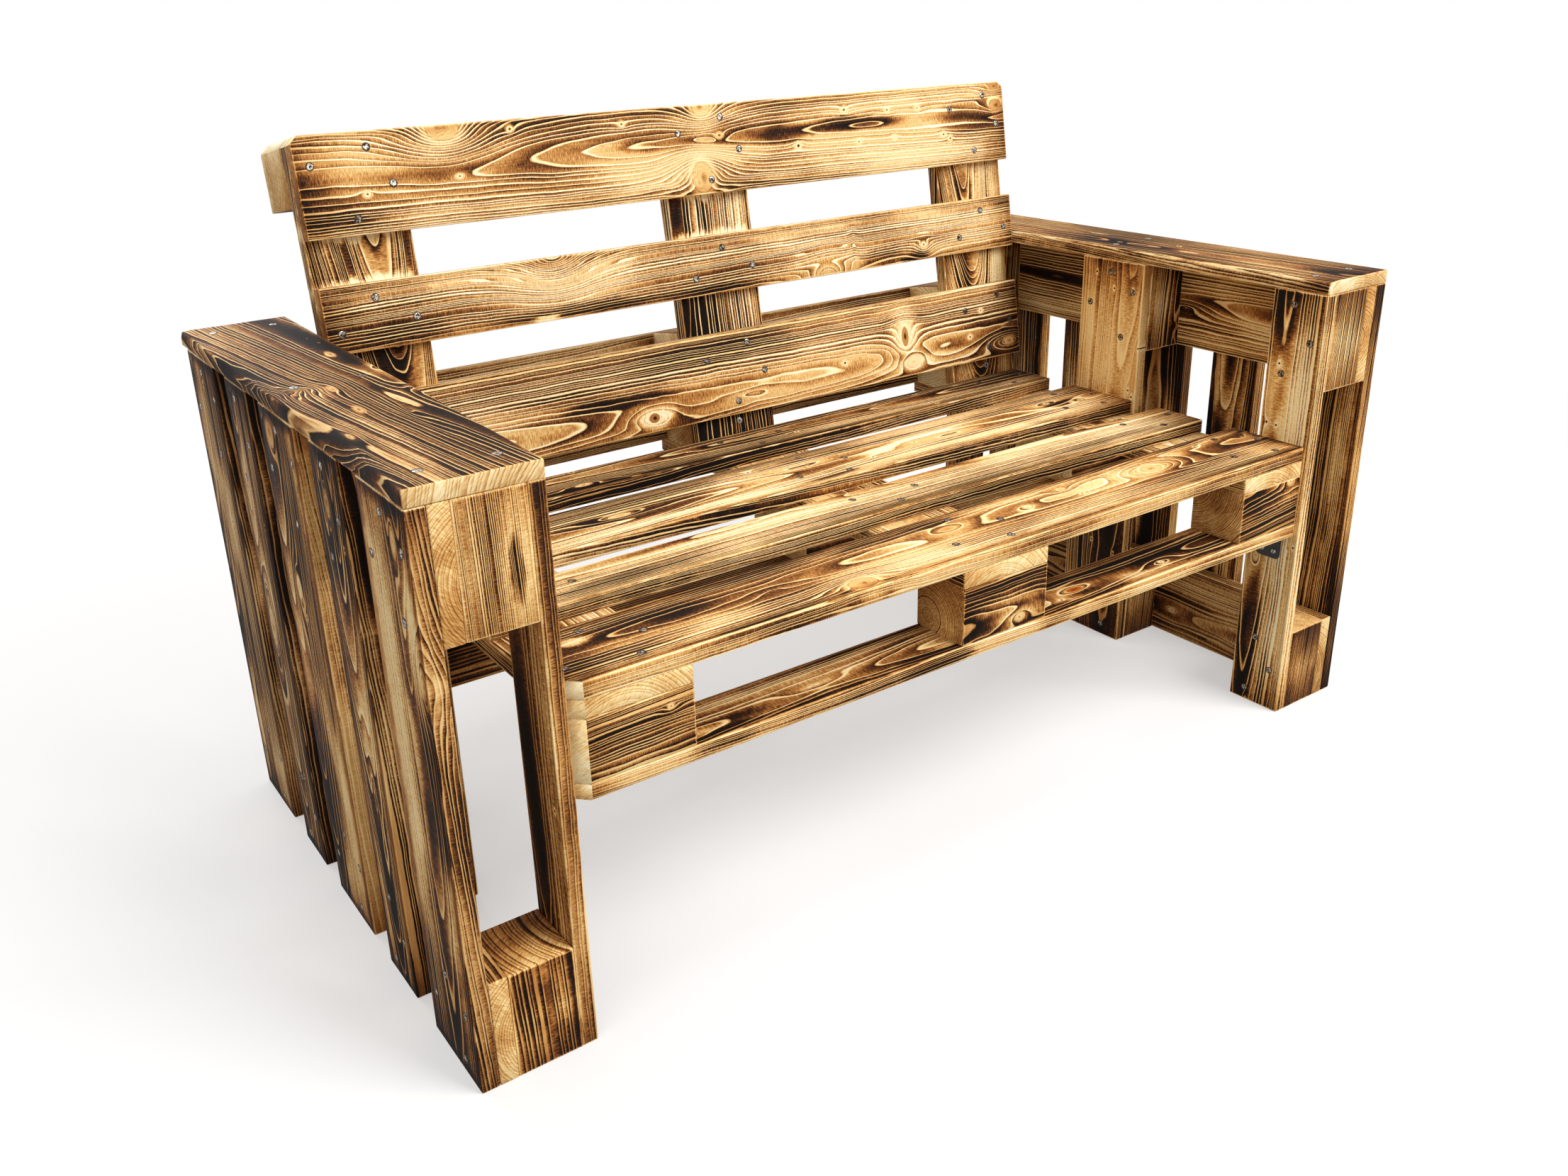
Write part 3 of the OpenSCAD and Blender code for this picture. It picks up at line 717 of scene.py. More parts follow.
# Burnt darker than the other blocks as painted shade: they stand under the seat, seen through the gaps
makeTimber("seat_middle_blocks", dict(blockLook, pith=(0.03, -0.12), lineBurn=0.3, bandBurn=0.85))
makeTimber("seat_front_skid_board", dict(
    pith=(-0.01, -0.04), lean=(0.02, 0), ring=0.0028, bandBurn=0.44, lineBurn=0.08, lineShare=0.29,
    patch=0.6, wave=0.014, pins=0.05, edgeScorch=0.3,
    knots=[
        knot((0.168, -0.006), 0.005, (0.07, 0.022), 3, long=2.6, red=1, core=0.4),
        knot((0.332, -0.015), 0.004, (0.05, 0.018), 2.5, long=1.4, core=0.02),
        bump(-0.27, -0.01, 0.12, 0.02, 2.5)],
    marks=[(0.3, 0.02, 0.18, 0.018, 0.7), (0.4, -0.01, 0.12, 0.03, 0.6), (0.2, -0.03, 0.06, 0.02, 0.5),
           (0.14, 0.03, 0.05, 0.016, 0.6), (0.1, -0.035, 0.05, 0.012, 0.7), (-0.42, -0.036, 0.06, 0.01, 0.6),
           (-0.1, -0.038, 0.06, 0.012, 0.9), (-0.28, 0.005, 0.14, 0.02, -0.25),
           (0.3, -0.03, 0.06, 0.01, -0.2)]), seatForm)
# Burnt dark as painted shade under the seat
makeTimber("seat_middle_skid_board", dict(bandBurn=0.85, lineBurn=0.3, grey=0.3))
print("seat made")

# Backrest. Its feet are sawn level, where it stands on the seat's stringers.
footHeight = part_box("back_left_stringer")[0].z
backForm = dict(corners=[(-1, 1, 0.011), (1, 1, 0.011)], reach=0.6,
                worldPlanes=[((0, 0, footHeight), (0, 0, -1))])
topOnly = dict(corners=backForm["corners"], reach=0.6)
lowerOnly = dict(worldPlanes=backForm["worldPlanes"])
backLook = dict(bandBurn=0.54, lineShare=0.28, lineBurn=0.04, patch=0.4, pins=0, endBurn=0.42)
backBoards = {
    "back_deck_board_1": dict(
        backLook, pith=(0.012, -0.032), lean=(0.004, 0.018), ring=0.0032, bandBurn=0.51, lineShare=0.25,
        lineBurn=0.02, patch=0.45, wave=0.006,
        knots=[
            bump(0.004, 0.014, 0.13, 0.03, -3.4), bump(0.3, 0.014, 0.16, 0.02, -1.6),
            knot((-0.401, 0.06), 0.017, (0.075, 0.042), 13, long=1.35, heart=0.12, core=0.16),
            knot((-0.002, 0.06), 0.013, (0.045, 0.03), 7, long=1.2, core=0.1),
            knot((0.024, 0.021), 0.005, (0.024, 0.016), 2, core=0.12, heart=0.4),
            knot((-0.013, -0.039), 0.022, (0.055, 0.042), 9, long=0.8, core=0.16, heart=0.2),
            knot((0.581, 0.026), 0.009, (0.045, 0.02), 4, long=1.4, core=0.12),
            knot((0.58, 0.054), 0.007, (0.04, 0.015), 4, long=1.5, core=0.1), pin(-0.306, 0.052),
            pin(-0.387, 0.001), pin(-0.514, -0.014), pin(-0.136, 0.045), pin(0.26, 0.039, 0.005, 2),
            pin(0.346, 0.033), pin(0.409, 0.032), pin(0.357, -0.01), pin(0.284, -0.011),
            pin(0.165, -0.008, 0.005, 2), pin(0.461, -0.013), pin(0.475, -0.02)],
        marks=[(0.27, 0.018, 0.1, 0.012, 0.7), (0.14, 0.012, 0.06, 0.014, 0.5),
               (-0.27, 0.02, 0.09, 0.022, -0.14), (-0.51, 0.03, 0.06, 0.014, 0.1),
               (-0.56, -0.045, 0.05, 0.01, 0.3), (-0.4, 0.05, 0.05, 0.03, -0.12),
               (-0.2, -0.04, 0.25, 0.02, -0.05), (0.3, -0.045, 0.25, 0.018, -0.2),
               (0.52, 0.01, 0.07, 0.03, 0.3), (-0.07, 0.016, 0.07, 0.018, 0.35),
               (0.05, 0.02, 0.04, 0.02, 0.25)]),
    "back_deck_board_2": dict(
        backLook, pith=(-0.06, -0.05), lean=(0, 0.006), ring=0.0024, wave=0.008,
        knots=[
            knot((-0.272, 0.05), 0.006, (0.065, 0.05), 9, heart=0.5, core=0.3),
            knot((0.197, -0.045), 0.007, (0.05, 0.036), 9, heart=0.5, core=0.1),
            knot((0.398, -0.019), 0.005, (0.022, 0.018), 4, heart=0.7, core=0.02),
            bump(0.253, 0, 0.012, 0.05, -1.2), bump(-0.15, -0.045, 0.2, 0.016, -1)],
        marks=[(-0.24, -0.034, 0.12, 0.01, 0.4), (-0.294, -0.038, 0.026, 0.005, -0.9),
               (0.31, -0.028, 0.05, 0.014, 0.45), (-0.5, -0.03, 0.06, 0.02, 0.2),
               (0.45, 0.02, 0.14, 0.02, -0.12), (0, 0.02, 0.3, 0.02, -0.1), (0.38, -0.04, 0.03, 0.012, 0.7),
               (0, -0.038, 0.1, 0.008, 0.35)]),
    "back_deck_board_3": dict(
        backLook, pith=(-0.03, -0.04), lean=(0.008, -0.012), ring=0.0029, wave=0.009,
        knots=[
            knot((0.341, 0.003), 0.016, (0.03, 0.036), 5, long=0.45, core=0.34, heart=0.4),
            knot((0.354, -0.036), 0.011, (0.04, 0.026), 6, long=1.2, core=0.04, heart=0.1),
            knot((0.575, -0.04), 0.007, (0.08, 0.026), 8, long=1.6, core=0.08),
            knot((-0.148, -0.042), 0.007, (0.065, 0.026), 6, core=0.42, heart=0.4), pin(0.212, -0.02),
            pin(0.484, -0.022), pin(0.513, 0.021), bump(0.03, -0.036, 0.1, 0.016, 2.5)],
        marks=[(-0.145, -0.042, 0.036, 0.016, -0.6), (-0.3, 0, 0.12, 0.02, 0.1),
               (-0.2, -0.01, 0.1, 0.01, 0.4), (-0.03, 0.034, 0.14, 0.022, 0.4),
               (0.38, -0.045, 0.12, 0.012, -0.35), (0.341, 0.014, 0.03, 0.04, -0.35),
               (-0.45, -0.035, 0.12, 0.02, -0.15)]),
}
for node, look in backBoards.items():
    makeTimber(node, look, topOnly if node.endswith("1") else {})
stubLook = dict(ring=0.0024, bandBurn=0.84, lineBurn=0.16, lineShare=0.24, patch=0.5, pins=0, jag=0.0006,
                edgeScorch=0.25)
# Paler beside the boards that cross
stubFades = [(0.142, 0, 0.017, 0.09, -0.85), (0.062, 0, 0.015, 0.09, -0.75)]
makeTimber("back_left_stringer", dict(
    stubLook, pith=(-0.02, -0.05), lean=(0.03, 0.07),
    marks=[*stubFades, (0.1, 0.03, 0.03, 0.02, 0.3), (0.1, -0.05, 0.03, 0.02, 0.2),
           (-0.05, 0, 0.05, 0.05, 0.3)]), backForm)
makeTimber("back_middle_stringer", dict(
    stubLook, pith=(0.07, -0.06), lineBurn=0.06, ring=0.004,
    marks=[*stubFades, (0.1, 0.05, 0.03, 0.014, 0.45), (0.1, 0.01, 0.03, 0.012, 0.45),
           (0.09, -0.05, 0.05, 0.02, -0.3), (-0.06, 0.04, 0.05, 0.03, 0.5), (-0.06, -0.05, 0.05, 0.02, -0.2),
           (-0.2, 0, 0.06, 0.06, 0.4)]), backForm)
makeTimber("back_right_stringer", dict(
    stubLook, pith=(0.012, -0.04), lean=(0.04, 0.12), bandBurn=0.6, lineShare=0.34,
    knots=[bump(0.13, 0.012, 0.045, 0.025, 3)],
    marks=[(0.09, 0.012, 0.03, 0.02, 0.25), (-0.06, 0.03, 0.05, 0.02, 0.4),
           (-0.06, -0.05, 0.05, 0.02, -0.3)]), backForm)
makeTimber("back_top_blocks", dict(blockLook, grey=0.3), topOnly)
makeTimber("back_lower_blocks", dict(blockLook, grey=0.3), lowerOnly)
makeTimber("back_top_skid_board", dict(bandBurn=0.6, grey=0.4), topOnly)
makeTimber("back_lower_skid_board", dict(bandBurn=0.6, grey=0.4), lowerOnly)
print("backrest made")

# Arms. x is the height above the board's middle, y the way to the back.
outerLook = dict(bandBurn=0.64, lineBurn=0.2, lineShare=0.32, grey=0.35, patch=0.75, edgeScorch=0.4,
                 edgeWearAndHighlight=0.25, pins=0.03, ring=0.0032)
leftBoards = [
    dict(pith=(-0.02, -0.05), lean=(-0.03, 0.03), seed=4.2,
         knots=[knot((0.286, -0.023), 0.005, (0.05, 0.015), 3, long=2.4, core=0.1),
                knot((0.151, -0.054), 0.008, (0.08, 0.03), 8, long=1.6, core=0.05, ball=0.5)],
         marks=[(-0.25, -0.05, 0.1, 0.02, 0.3), (0.05, 0.02, 0.3, 0.02, -0.15),
                (0.2, -0.04, 0.08, 0.02, -0.25), (0.02, -0.045, 0.1, 0.012, 0.4)]),
    dict(pith=(0, -0.035), lean=(0.01, 0.04), seed=7.7, bandBurn=0.82,
         knots=[knot((0.268, 0.008), 0.005, (0.1, 0.018), 6, long=2.5, core=0.3),
                bump(-0.08, 0, 0.12, 0.02, 4)],
         marks=[(0.2, -0.02, 0.12, 0.02, 0.3), (-0.2, 0.02, 0.15, 0.02, 0.25),
                (0.1, 0.045, 0.03, 0.008, -0.6)]), dict(pith=(0.04, -0.07), lean=(0, 0.03), seed=2.9,
                                                        knots=[knot((0.3, 0.029), 0.012, (0.05, 0.03), 3,
                                                                    long=1.6, core=0.12, heart=0.1),
                                                               knot((0.116, 0.014), 0.007, (0.06, 0.02), 3,
                                                                    long=2.2, core=0.08)],
                                                        marks=[(0.24, -0.01, 0.12, 0.03, 0.5),
                                                               (-0.2, 0.03, 0.15, 0.02, 0.3),
                                                               (-0.05, -0.03, 0.2, 0.02, -0.15)]),
    dict(pith=(0.02, -0.04), lean=(0.01, 0.03), seed=9.1, grey=0.7,
         knots=[knot((0.003, 0.018), 0.007, (0.09, 0.018), 6, long=2.6, core=0.15)],
         marks=[(0.1, -0.03, 0.12, 0.02, 0.6), (-0.15, 0, 0.15, 0.04, -0.12)]),
    dict(pith=(0.05, -0.08), lean=(0, 0.02), ring=0.0038, seed=5.3, grey=0.7, bandBurn=0.6,
         marks=[(0.1, -0.05, 0.3, 0.014, 0.4), (0.25, 0, 0.08, 0.05, 0.25)]), ]
for number, look in enumerate(leftBoards, 1):
    makeTimber(f"left_arm_deck_board_{number}", {**outerLook, **look})
for number in range(1, 6):
    straight = dict(pith=(0.03 * number - 0.08, -0.11), ring=0.0026, patch=0.9, bandBurn=0.94, lineBurn=0.32,
                    grey=0.1)
    makeTimber(f"right_arm_deck_board_{number}", {**outerLook, **straight})
railLook = dict(bandBurn=0.65, lineBurn=0.18, lineShare=0.31, endBurn=0.24, pins=0.03)
sideKnots = {
    "right_arm_top_stringer": dict(
        pith=(0, -0.03), ring=0.0041, seed=6.6, lineShare=0.34, knots=[bump(0.075, 0.008, 0.11, 0.024, 4.5)]),
    # burnt darker than the top rail, partly as painted shade where it sits low inside the arm
    "right_arm_bottom_stringer": dict(
        pith=(0.02, -0.06), ring=0.0034, bandBurn=0.72, lineBurn=0.32, grey=0.3,
        knots=[knot((0.102, 0.02), 0.004, (0.05, 0.02), 2, long=2)]),
}
blockLooks = {
    "left_arm_top_blocks": dict(
        pith=(0.03, -0.12), lean=(0, 0.03), ring=0.002, lineShare=0.32, bandBurn=0.54, lineBurn=0.16,
        patch=0.25, edgeScorch=0.1, endScorch=0.1,
        marks=[(-0.01, -0.02, 0.034, 0.008, 0.75, True), (0, -0.024, 0.09, 0.018, -0.22, True),
               (0, 0.006, 0.05, 0.01, 0.2, True)]),
    "left_arm_bottom_blocks": dict(
        pith=(0.02, -0.13), lean=(0.02, 0.06), ring=0.0054, bandBurn=0.92, lineBurn=0.26, lineShare=0.32,
        endBurn=0.36, endLines=0.3, grey=0,
        marks=[(0.01, 0.01, 0.04, 0.03, 0.4, True), (-0.04, -0.02, 0.03, 0.02, 0.3, True)]),
    "right_arm_top_blocks": dict(
        pith=(0.04, -0.02), lean=(0, 0.04), ring=0.003, bandBurn=0.7, lineBurn=0.12, lineShare=0.34,
        marks=[(0, -0.005, 0.04, 0.014, 0.35, True), (0.04, 0, 0.012, 0.05, -0.3, True)]),
    "right_arm_bottom_blocks": dict(
        pith=(0.06, -0.12), lean=(0, 0.05), ring=0.0024, bandBurn=0.86, lineBurn=0.3, lineShare=0.26,
        marks=[(0, 0.028, 0.06, 0.012, -0.35, True)]),
}
for side in ("left", "right"):
    for place in ("bottom", "top"):
        node = f"{side}_arm_{place}_stringer"
        makeTimber(node, {**railLook, **sideKnots.get(node, {})})
        node = f"{side}_arm_{place}_blocks"
        makeTimber(node, {**blockLook, **blockLooks.get(node, {})})
skidLook = dict(bandBurn=0.7, lineBurn=0.2)
skidLooks = {
    "left_arm_front_skid_board": dict(bandBurn=0.78, lineBurn=0.3, grey=0.25,
                                      marks=[(-0.1, 0.02, 0.2, 0.02, 0.15), (0, -0.02, 0.3, 0.02, -0.25)]),
    "right_arm_front_skid_board": dict(
        pith=(-0.02, -0.05), ring=0.0034, bandBurn=0.66, lineBurn=0.1, patch=0.6, lineShare=0.3, grey=0,
        knots=[knot((-0.083, -0.024), 0.005, (0.03, 0.014), 1.5, long=1.5, core=0.12)],
        marks=[(0.2, 0, 0.14, 0.03, -0.25), (-0.22, -0.02, 0.12, 0.016, 0.6),
               (-0.28, 0.02, 0.06, 0.02, 0.3)]),
    "right_arm_middle_skid_board": dict(
        pith=(0.03, -0.08), ring=0.003, bandBurn=0.34, lineBurn=0.16, lineShare=0.36, patch=0.35, pins=0.3,
        wave=0.018, grey=0.05, marks=[(0.03, 0, 0.08, 0.07, 0.5), (-0.2, 0, 0.2, 0.07, 0.5),
                                      (0.2, 0, 0.1, 0.06, -0.1)]),
    "right_arm_rear_skid_board": dict(bandBurn=0.92, lineBurn=0.35),
}
for side in ("left", "right"):
    for place in ("front", "middle", "rear"):
        node = f"{side}_arm_{place}_skid_board"
        makeTimber(node, {**skidLook, **skidLooks.get(node, {})})
print("arms made")

# Armrests lie flat, with their grain from front to back. x runs to the back, y to the left.
makeTimber("left_armrest", dict(
    seed=3.3, pith=(-0.075, -0.045), lean=(0.1, 0), ring=0.0046, bandBurn=0.9, lineBurn=0.2,
    lineShare=0.18, patch=0.35, wave=0.012, pins=0.02, edgeScorch=0, endBurn=0.16, endScorch=0,
    grey=0.45, edgeWearAndHighlight=0.35,
    knots=[lens(0.137, -0.046), lens(-0.027, 0.005), lens(-0.126, 0.01, 0.007), lens(-0.215, 0.05, 0.004),
           bump(-0.01, 0.04, 0.035, 0.06, 3), bump(0.037, -0.072, 0.03, 0.02, 2),
           bump(-0.078, -0.065, 0.03, 0.02, 2), bump(-0.16, -0.03, 0.14, 0.018, -2.5)],
    marks=[(-0.25, 0.02, 0.12, 0.015, -0.25), (0.1, -0.066, 0.3, 0.006, -0.3),
           (-0.03, 0.03, 0.05, 0.02, -0.25), (-0.19, 0.045, 0.05, 0.012, -0.3)]),
           dict(step=0.012, wane=0.014))
makeTimber("right_armrest", dict(
    seed=8.8, pith=(0.02, -0.08), lean=(0.05, 0), ring=0.0028, bandBurn=0.96, lineBurn=0.32,
    lineShare=0.26, patch=0.5, wave=0.014, edgeScorch=0, endBurn=0.14, grey=0.45,
    knots=[lens(-0.118, 0.019), lens(0.1, -0.02)],
    marks=[(0, 0.064, 0.5, 0.006, -0.5), (0.1, 0.02, 0.2, 0.03, 0.1)]), dict(step=0.012, wane=0.013))
print("armrests made")


# Metal: dull, with stains, and scratches that run any way
def makeMetalGroup():
    w, given, out = newGroup("handledMetal", {"place": (0, 0, 0)}, {"stain": "Float", "height": "Float"})
    blotch = w.noise(given["place"], (310.0, 310.0, 310.0), 3.0, 0.6)
    scratch = w.noise(given["place"], (1500.0, 260.0, 700.0), 2.0, 0.6)
    w.feed(out["stain"], w.fade(w.times(scratch, 0.35, blotch), 0.50, 0.76))
    w.feed(out["height"], w.times(scratch, 0.6, blotch))
    return w.tree


metalGroup = makeMetalGroup()
# Clean and stained colours, how metallic, and the roughness where clean and where stained
metals = {
    "nailSteel": (tone(216, 206, 190), tone(34, 25, 19), 0.9, (0.25, 0.5)),
    "screwZinc": (tone(226, 226, 222), tone(120, 117, 112), 0.9, (0.22, 0.42)),
    "blackPaint": (tone(22, 22, 23), tone(48, 46, 44), 0.0, (0.32, 0.5)),
    # the rim round heads: charred wood, made darker as painted shade of the dip round each head
    "charAndShadeRim": (tone(16, 11, 8), tone(66, 42, 24), 0.0, (0.6, 0.8)),
}


def makeMetal(name):
    clean, stained, metallic, rough = metals[name]
    material, w, shader = newMaterial(name)
    worn = w.use(metalGroup, place=w.add("ShaderNodeTexCoord").outputs["Object"])
    w.feed(shader["Base Color"], w.ramp(worn["stain"], (0.0, clean), (1.0, stained)))
    w.feed(shader["Roughness"], w.blend(worn["stain"], *rough))
    w.feed(shader["Normal"], w.bump(worn["height"], 0.25, 0.0002))
    shader["Metallic"].default_value = metallic
    return material


steel, zinc, blackPaint, rimCharShade = (makeMetal(name) for name in metals)


# A turned shape: the profile's radii and heights, spun about the z axis
def turned(bm, profile, steps, slotIndex=0):
    verts = [bm.verts.new((radius, 0, height)) for radius, height in profile]
    edges = [bm.edges.new(pair) for pair in zip(verts, verts[1:])]
    before = set(bm.faces)
    bmesh.ops.spin(bm, geom=verts + edges, cent=(0, 0, 0), axis=(0, 0, 1), angle=math.tau, steps=steps,
                   use_merge=True)
    bmesh.ops.remove_doubles(bm, verts=bm.verts, dist=1e-6)
    for face in bm.faces:
        if face not in before:
            face.material_index = slotIndex


# The charred wood round a head, near black, which is also painted shade in the dip round the head. The rim's
# profile counts from the edge of the head.
def charAndShadeRim(bm, look):
    inner = (look["head"] - 0.0002, look["rim"][-1][1])
    outer = [(look["head"] + out, height) for out, height in look["rim"]]
    turned(bm, [inner, *outer, inner], look["steps"], 1)


# A recess in a head: the open rim is pulled in to the outline that shape gives for each angle
def recess(bm, shape, height):
    found = bmesh.ops.extrude_edge_only(bm, edges=openRim(bm))
    for vert in newVerts(found):
        angle = math.atan2(vert.co.y, vert.co.x)
        vert.co = Vector((shape(angle) * math.cos(angle), shape(angle) * math.sin(angle), height))


def asMesh(bm, name):
    bmesh.ops.recalc_face_normals(bm, faces=bm.faces)
    mesh = bpy.data.meshes.new(name)
    bm.to_mesh(mesh)
    bm.free()
    return mesh


nail = {
    "dome": [(0, 0.0001), (0.0024, 0.00011), (0.0033, 0.0002), (0.0038, 0.00018)], "head": 0.0043,
    "thick": 0.0015, "neck": 0.0008, "shank": 0.0021, "point": 0.006,
    "rim": [(0.0001, 0.00015), (0.0011, 0.00015), (0.0015, -0.0006)], "steps": 18,
}


def nailShape(length):
    bm = bmesh.new()
    head, shank, low = nail["head"], nail["shank"], -nail["thick"]
    turned(bm, [*nail["dome"], (head, 0), (head, low), (shank, low - nail["neck"]),
                (shank, nail["point"] - length), (0, -length)], nail["steps"])
    charAndShadeRim(bm, nail)
    return asMesh(bm, "nail")


screw = {
    "head": 0.00475, "proud": 0.0001, "round": 0.0003, "edge": 0.0004, "high": 0.0028, "shank": 0.0025,
    "point": 0.008, "recess": 0.0021, "deep": 0.0016,
    "rim": [(0.0002, 0.0001), (0.0010, 0.0001), (0.0014, -0.0008)], "steps": 24,
}


# A countersunk screw with a six-lobed recess
def screwShape(length):
    bm = bmesh.new()
    head, proud, shank = screw["head"], screw["proud"], screw["shank"]
    turned(bm, [(screw["recess"] * 1.25, proud), (head - screw["round"], proud), (head, 0),
                (head, -screw["edge"]), (shank, -screw["high"]), (shank, screw["point"] - length),
                (0, -length)], screw["steps"])
    recess(bm, lambda angle: screw["recess"] * (0.86 + 0.22 * math.cos(6 * angle)), proud)
    walls = bmesh.ops.extrude_edge_only(bm, edges=openRim(bm))
    bmesh.ops.translate(bm, verts=newVerts(walls), vec=(0, 0, -screw["deep"]))
    bmesh.ops.contextual_create(bm, geom=openRim(bm))
    charAndShadeRim(bm, screw)
    return asMesh(bm, "screw")


panHead = {
    "radius": 0.00425, "high": 0.0022, "shank": 0.002, "point": 0.003, "recess": 0.001, "deep": 0.0011,
    "steps": 24,
}


# A pan-head screw with a cross recess
def panScrewShape(length):
    bm = bmesh.new()
    radius, high, shank = panHead["radius"], panHead["high"], panHead["shank"]
    turned(bm, [(0.0014, high), (radius * 0.62, high * 0.92), (radius * 0.9, high * 0.62),
                (radius, high * 0.2), (radius, 0), (shank, 0), (shank, panHead["point"] - length),
                (0, -length)], panHead["steps"])
    recess(bm, lambda angle: panHead["recess"] * (0.45 + 0.75 * max(0.0, math.cos(4 * angle))),
           high - panHead["deep"])
    bmesh.ops.contextual_create(bm, geom=openRim(bm))
    return asMesh(bm, "panScrew")


# The head is at the wider end of a fastener: how near to an end counts, and how far a fastener leans
fastener = {"endZone": 0.003, "lean": 0.02}


# Each solid of a fastener node: where its head is, which way it points, and how long it is
def fastenerPlaces(node, turn, headOver):
    places = []
    for points in solidsOf(node, turn):
        low, high = boxOf(points)
        size = high - low
        axis = max(range(3), key=lambda i: size[i])
        others = [i for i in range(3) if i != axis]
        seat = (low + high) / 2
        spread = {}
        for end in (low[axis], high[axis]):
            near = [p for p in points if abs(p[axis] - end) < fastener["endZone"]]
            spread[end] = max((math.hypot(*(p[i] - seat[i] for i in others)) for p in near), default=0)
        seat[axis] = max(spread, key=spread.get)
        direction = Vector((0, 0, 0))
        direction[axis] = 1 if seat[axis] == high[axis] else -1
        places.append((turn @ (seat - direction * headOver), turn @ direction, size[axis] - headOver))
    return places


# headOver is how far the head stands out of what it holds. Each fastener leans a little its own way.
def makeFasteners(node, pallet, shape, slot, *materials, headOver=0.0):
    dice = random.Random(pieceName(node))
    whole = bmesh.new()
    shapes = {}
    for seat, direction, length in fastenerPlaces(node, turns[pallet], headOver):
        key = round(length, 4)
        if key not in shapes:
            shapes[key] = shape(key)
        start = len(whole.verts)
        whole.from_mesh(shapes[key])
        whole.verts.ensure_lookup_table()
        tip = Vector((dice.uniform(-1, 1), dice.uniform(-1, 1))) * fastener["lean"]
        aim = (direction + direction.orthogonal() * tip.x).normalized()
        spin = Matrix.Rotation(dice.uniform(0, math.tau), 4, "Z")
        matrix = Matrix.Translation(seat) @ aim.to_track_quat("Z", "Y").to_matrix().to_4x4() @ spin
        bmesh.ops.transform(whole, matrix=matrix, verts=whole.verts[start:])
    finishPiece(whole, node, slot, *materials)


for pallet in ("left_arm", "right_arm", "seat", "back"):
    makeFasteners(pallet + "_nails", pallet, nailShape, "steel", steel, rimCharShade)
for node, pallet in (("armrest_screws", "seat"), ("back_stringer_screws", "back"),
                     ("back_foot_screws", "seat"), ("arm_to_back_screws", "seat")):
    makeFasteners(node, pallet, screwShape, "steel", zinc, rimCharShade)
makeFasteners("bracket_screws", "seat", panScrewShape, "black_steel", zinc, headOver=panHead["high"])
print("nails and screws made")

bracket = {"thick": 0.0025, "fold": 0.0018, "corner": 0.006, "nearFold": 0.003, "leastWide": 0.02}


# How far the first end of an edge is from a fold, to the side and down
def fromFold(edge, foldX, foldZ):
    return abs(edge.verts[0].co.x - foldX), abs(edge.verts[0].co.z - foldZ)


# Angle brackets, folded from plate, under the seat and against the arms
def makeBrackets():
    whole = bmesh.new()
    thick = bracket["thick"]
    for points in solidsOf("seat_brackets", turns["seat"]):
        low, high = boxOf(points)
        leg = high.x - low.x
        inward = 1 if (low + high).x < 0 else -1
        foldX = low.x if inward > 0 else high.x
        outline = [(0, 0), (leg, 0), (leg, -thick), (thick, -thick), (thick, -leg), (0, -leg)]
        bm = bmesh.new()
        face = bm.faces.new([bm.verts.new((foldX + inward * x, low.y, high.z + z)) for x, z in outline])
        swept = bmesh.ops.extrude_face_region(bm, geom=[face])
        bmesh.ops.translate(bm, verts=newVerts(swept), vec=(0, high.y - low.y, 0))
        bmesh.ops.recalc_face_normals(bm, faces=bm.faces)
        fold = [e for e in bm.edges if abs(e.verts[0].co.y - e.verts[1].co.y) > bracket["leastWide"]
                and max(fromFold(e, foldX, high.z)) < bracket["nearFold"]]
        bmesh.ops.bevel(bm, geom=fold, offset=bracket["fold"], segments=4, profile=0.5, affect="EDGES",
                        material=-1)
        tips = [e for e in bm.edges if e.calc_length() < thick * 1.01
                and any(abs(away - leg) < 1e-6 for away in fromFold(e, foldX, high.z))]
        bmesh.ops.bevel(bm, geom=tips, offset=bracket["corner"], segments=4, profile=0.5, affect="EDGES",
                        material=-1)
        bmesh.ops.recalc_face_normals(bm, faces=bm.faces)
        addTo(whole, bm)
    finishPiece(whole, "seat_brackets", "black_steel", blackPaint)


makeBrackets()
print("brackets made")

# The floor shows white and keeps a soft shadow. Seen by the wood it is a dull beige.
floorLook = {
    "seen": (0.96, 0.96, 0.96, 1), "unseen": (0.42, 0.39, 0.35, 1), "rough": 0.9,
    "glowNear": 0.38, "glowFar": 1.0, "near": 0.4, "far": 2.2, "stretch": (0.8, 1, 1), "size": 20,
}


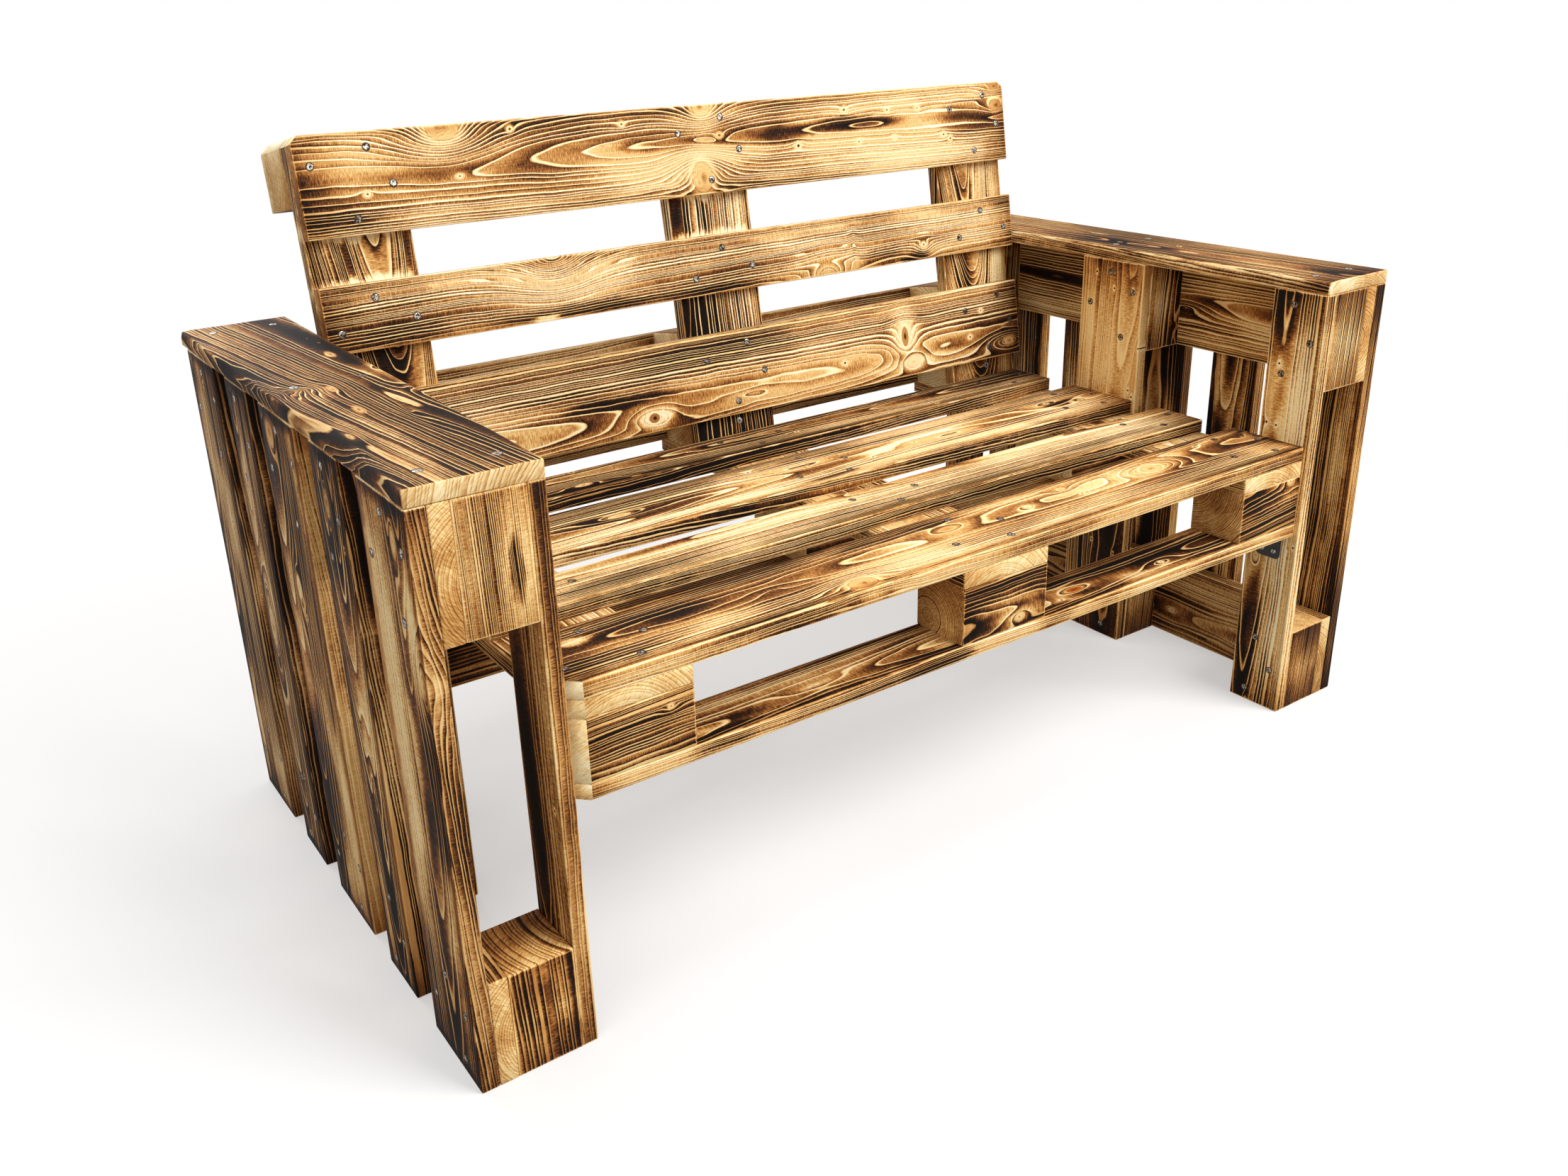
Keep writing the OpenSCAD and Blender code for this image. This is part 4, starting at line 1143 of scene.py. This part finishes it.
def makeFloor():
    bm = bmesh.new()
    bmesh.ops.create_grid(bm, x_segments=4, y_segments=4, size=floorLook["size"])
    material, w, shader = newMaterial("paleFloor")
    nodes = material.node_tree.nodes
    shader["Roughness"].default_value = floorLook["rough"]
    place = w.add("ShaderNodeTexCoord").outputs["Object"]
    away = w.vector("LENGTH", w.vector("MULTIPLY", place, floorLook["stretch"]))
    path = w.add("ShaderNodeLightPath").outputs
    colour = w.ramp(path["Is Camera Ray"], (0.0, floorLook["unseen"]), (1.0, floorLook["seen"]))
    w.feed(shader["Base Color"], colour)
    glow = w.fade(away, floorLook["near"], floorLook["far"], floorLook["glowNear"], floorLook["glowFar"])
    glow = w.times(glow, w.math("MAXIMUM", path["Is Camera Ray"], path["Is Glossy Ray"]))
    light = w.add("ShaderNodeEmission").outputs[0]
    mixed = w.fill(w.add("ShaderNodeMixShader"), glow, nodes["Principled BSDF"].outputs[0], light)[0]
    w.feed(nodes["Material Output"].inputs["Surface"], mixed)
    mesh = bpy.data.meshes.new("floor")
    bm.to_mesh(mesh)
    bm.free()
    mesh.materials.append(material)
    floor = bpy.data.objects.new("floor", mesh)
    bpy.context.scene.collection.objects.link(floor)


# Each lamp's place, what it is aimed at, how wide it is, and its power
lamps = {
    "key": ((1.6, -3.2, 3.4), (0, 0, 0.4), 2.6, 208),
    "fill": ((-3.4, -2.2, 2.2), (0, 0, 0.4), 2.8, 42),
    "top": ((0, 0.4, 3.6), (0, 0, 0.4), 3.0, 56),
    "rear": ((-0.8, 3.6, 2.2), (0, 0, 0.6), 2.4, 55),
}
# The world's colour and strength: what lights the sofa, and what the camera and the gloss see
sky = {"light": (1.0, 0.94, 0.86, 1), "strength": 0.29, "seen": (1, 1, 1, 1), "seenStrength": 1.0}


def makeLights():
    for name, (place, aim, size, power) in lamps.items():
        data = bpy.data.lights.new(name, "AREA")
        data.size = size
        data.energy = power
        light = bpy.data.objects.new(name, data)
        way = Vector(place) - Vector(aim)
        light.matrix_world = Matrix.Translation(place) @ way.to_track_quat("Z", "Y").to_matrix().to_4x4()
        bpy.context.scene.collection.objects.link(light)
    world = bpy.data.worlds.new("studio")
    world.use_nodes = True
    w = Wiring(world.node_tree)
    background = world.node_tree.nodes["Background"].inputs
    path = w.add("ShaderNodeLightPath").outputs
    seen = w.math("MAXIMUM", path["Is Camera Ray"], path["Is Glossy Ray"])
    w.feed(background["Strength"], w.blend(seen, sky["strength"], sky["seenStrength"]))
    w.feed(background["Color"], w.ramp(seen, (0.0, sky["light"]), (1.0, sky["seen"])))
    bpy.context.scene.world = world


makeFloor()
makeLights()
bpy.context.scene.view_settings.view_transform = "Standard"
print("floor and light made")
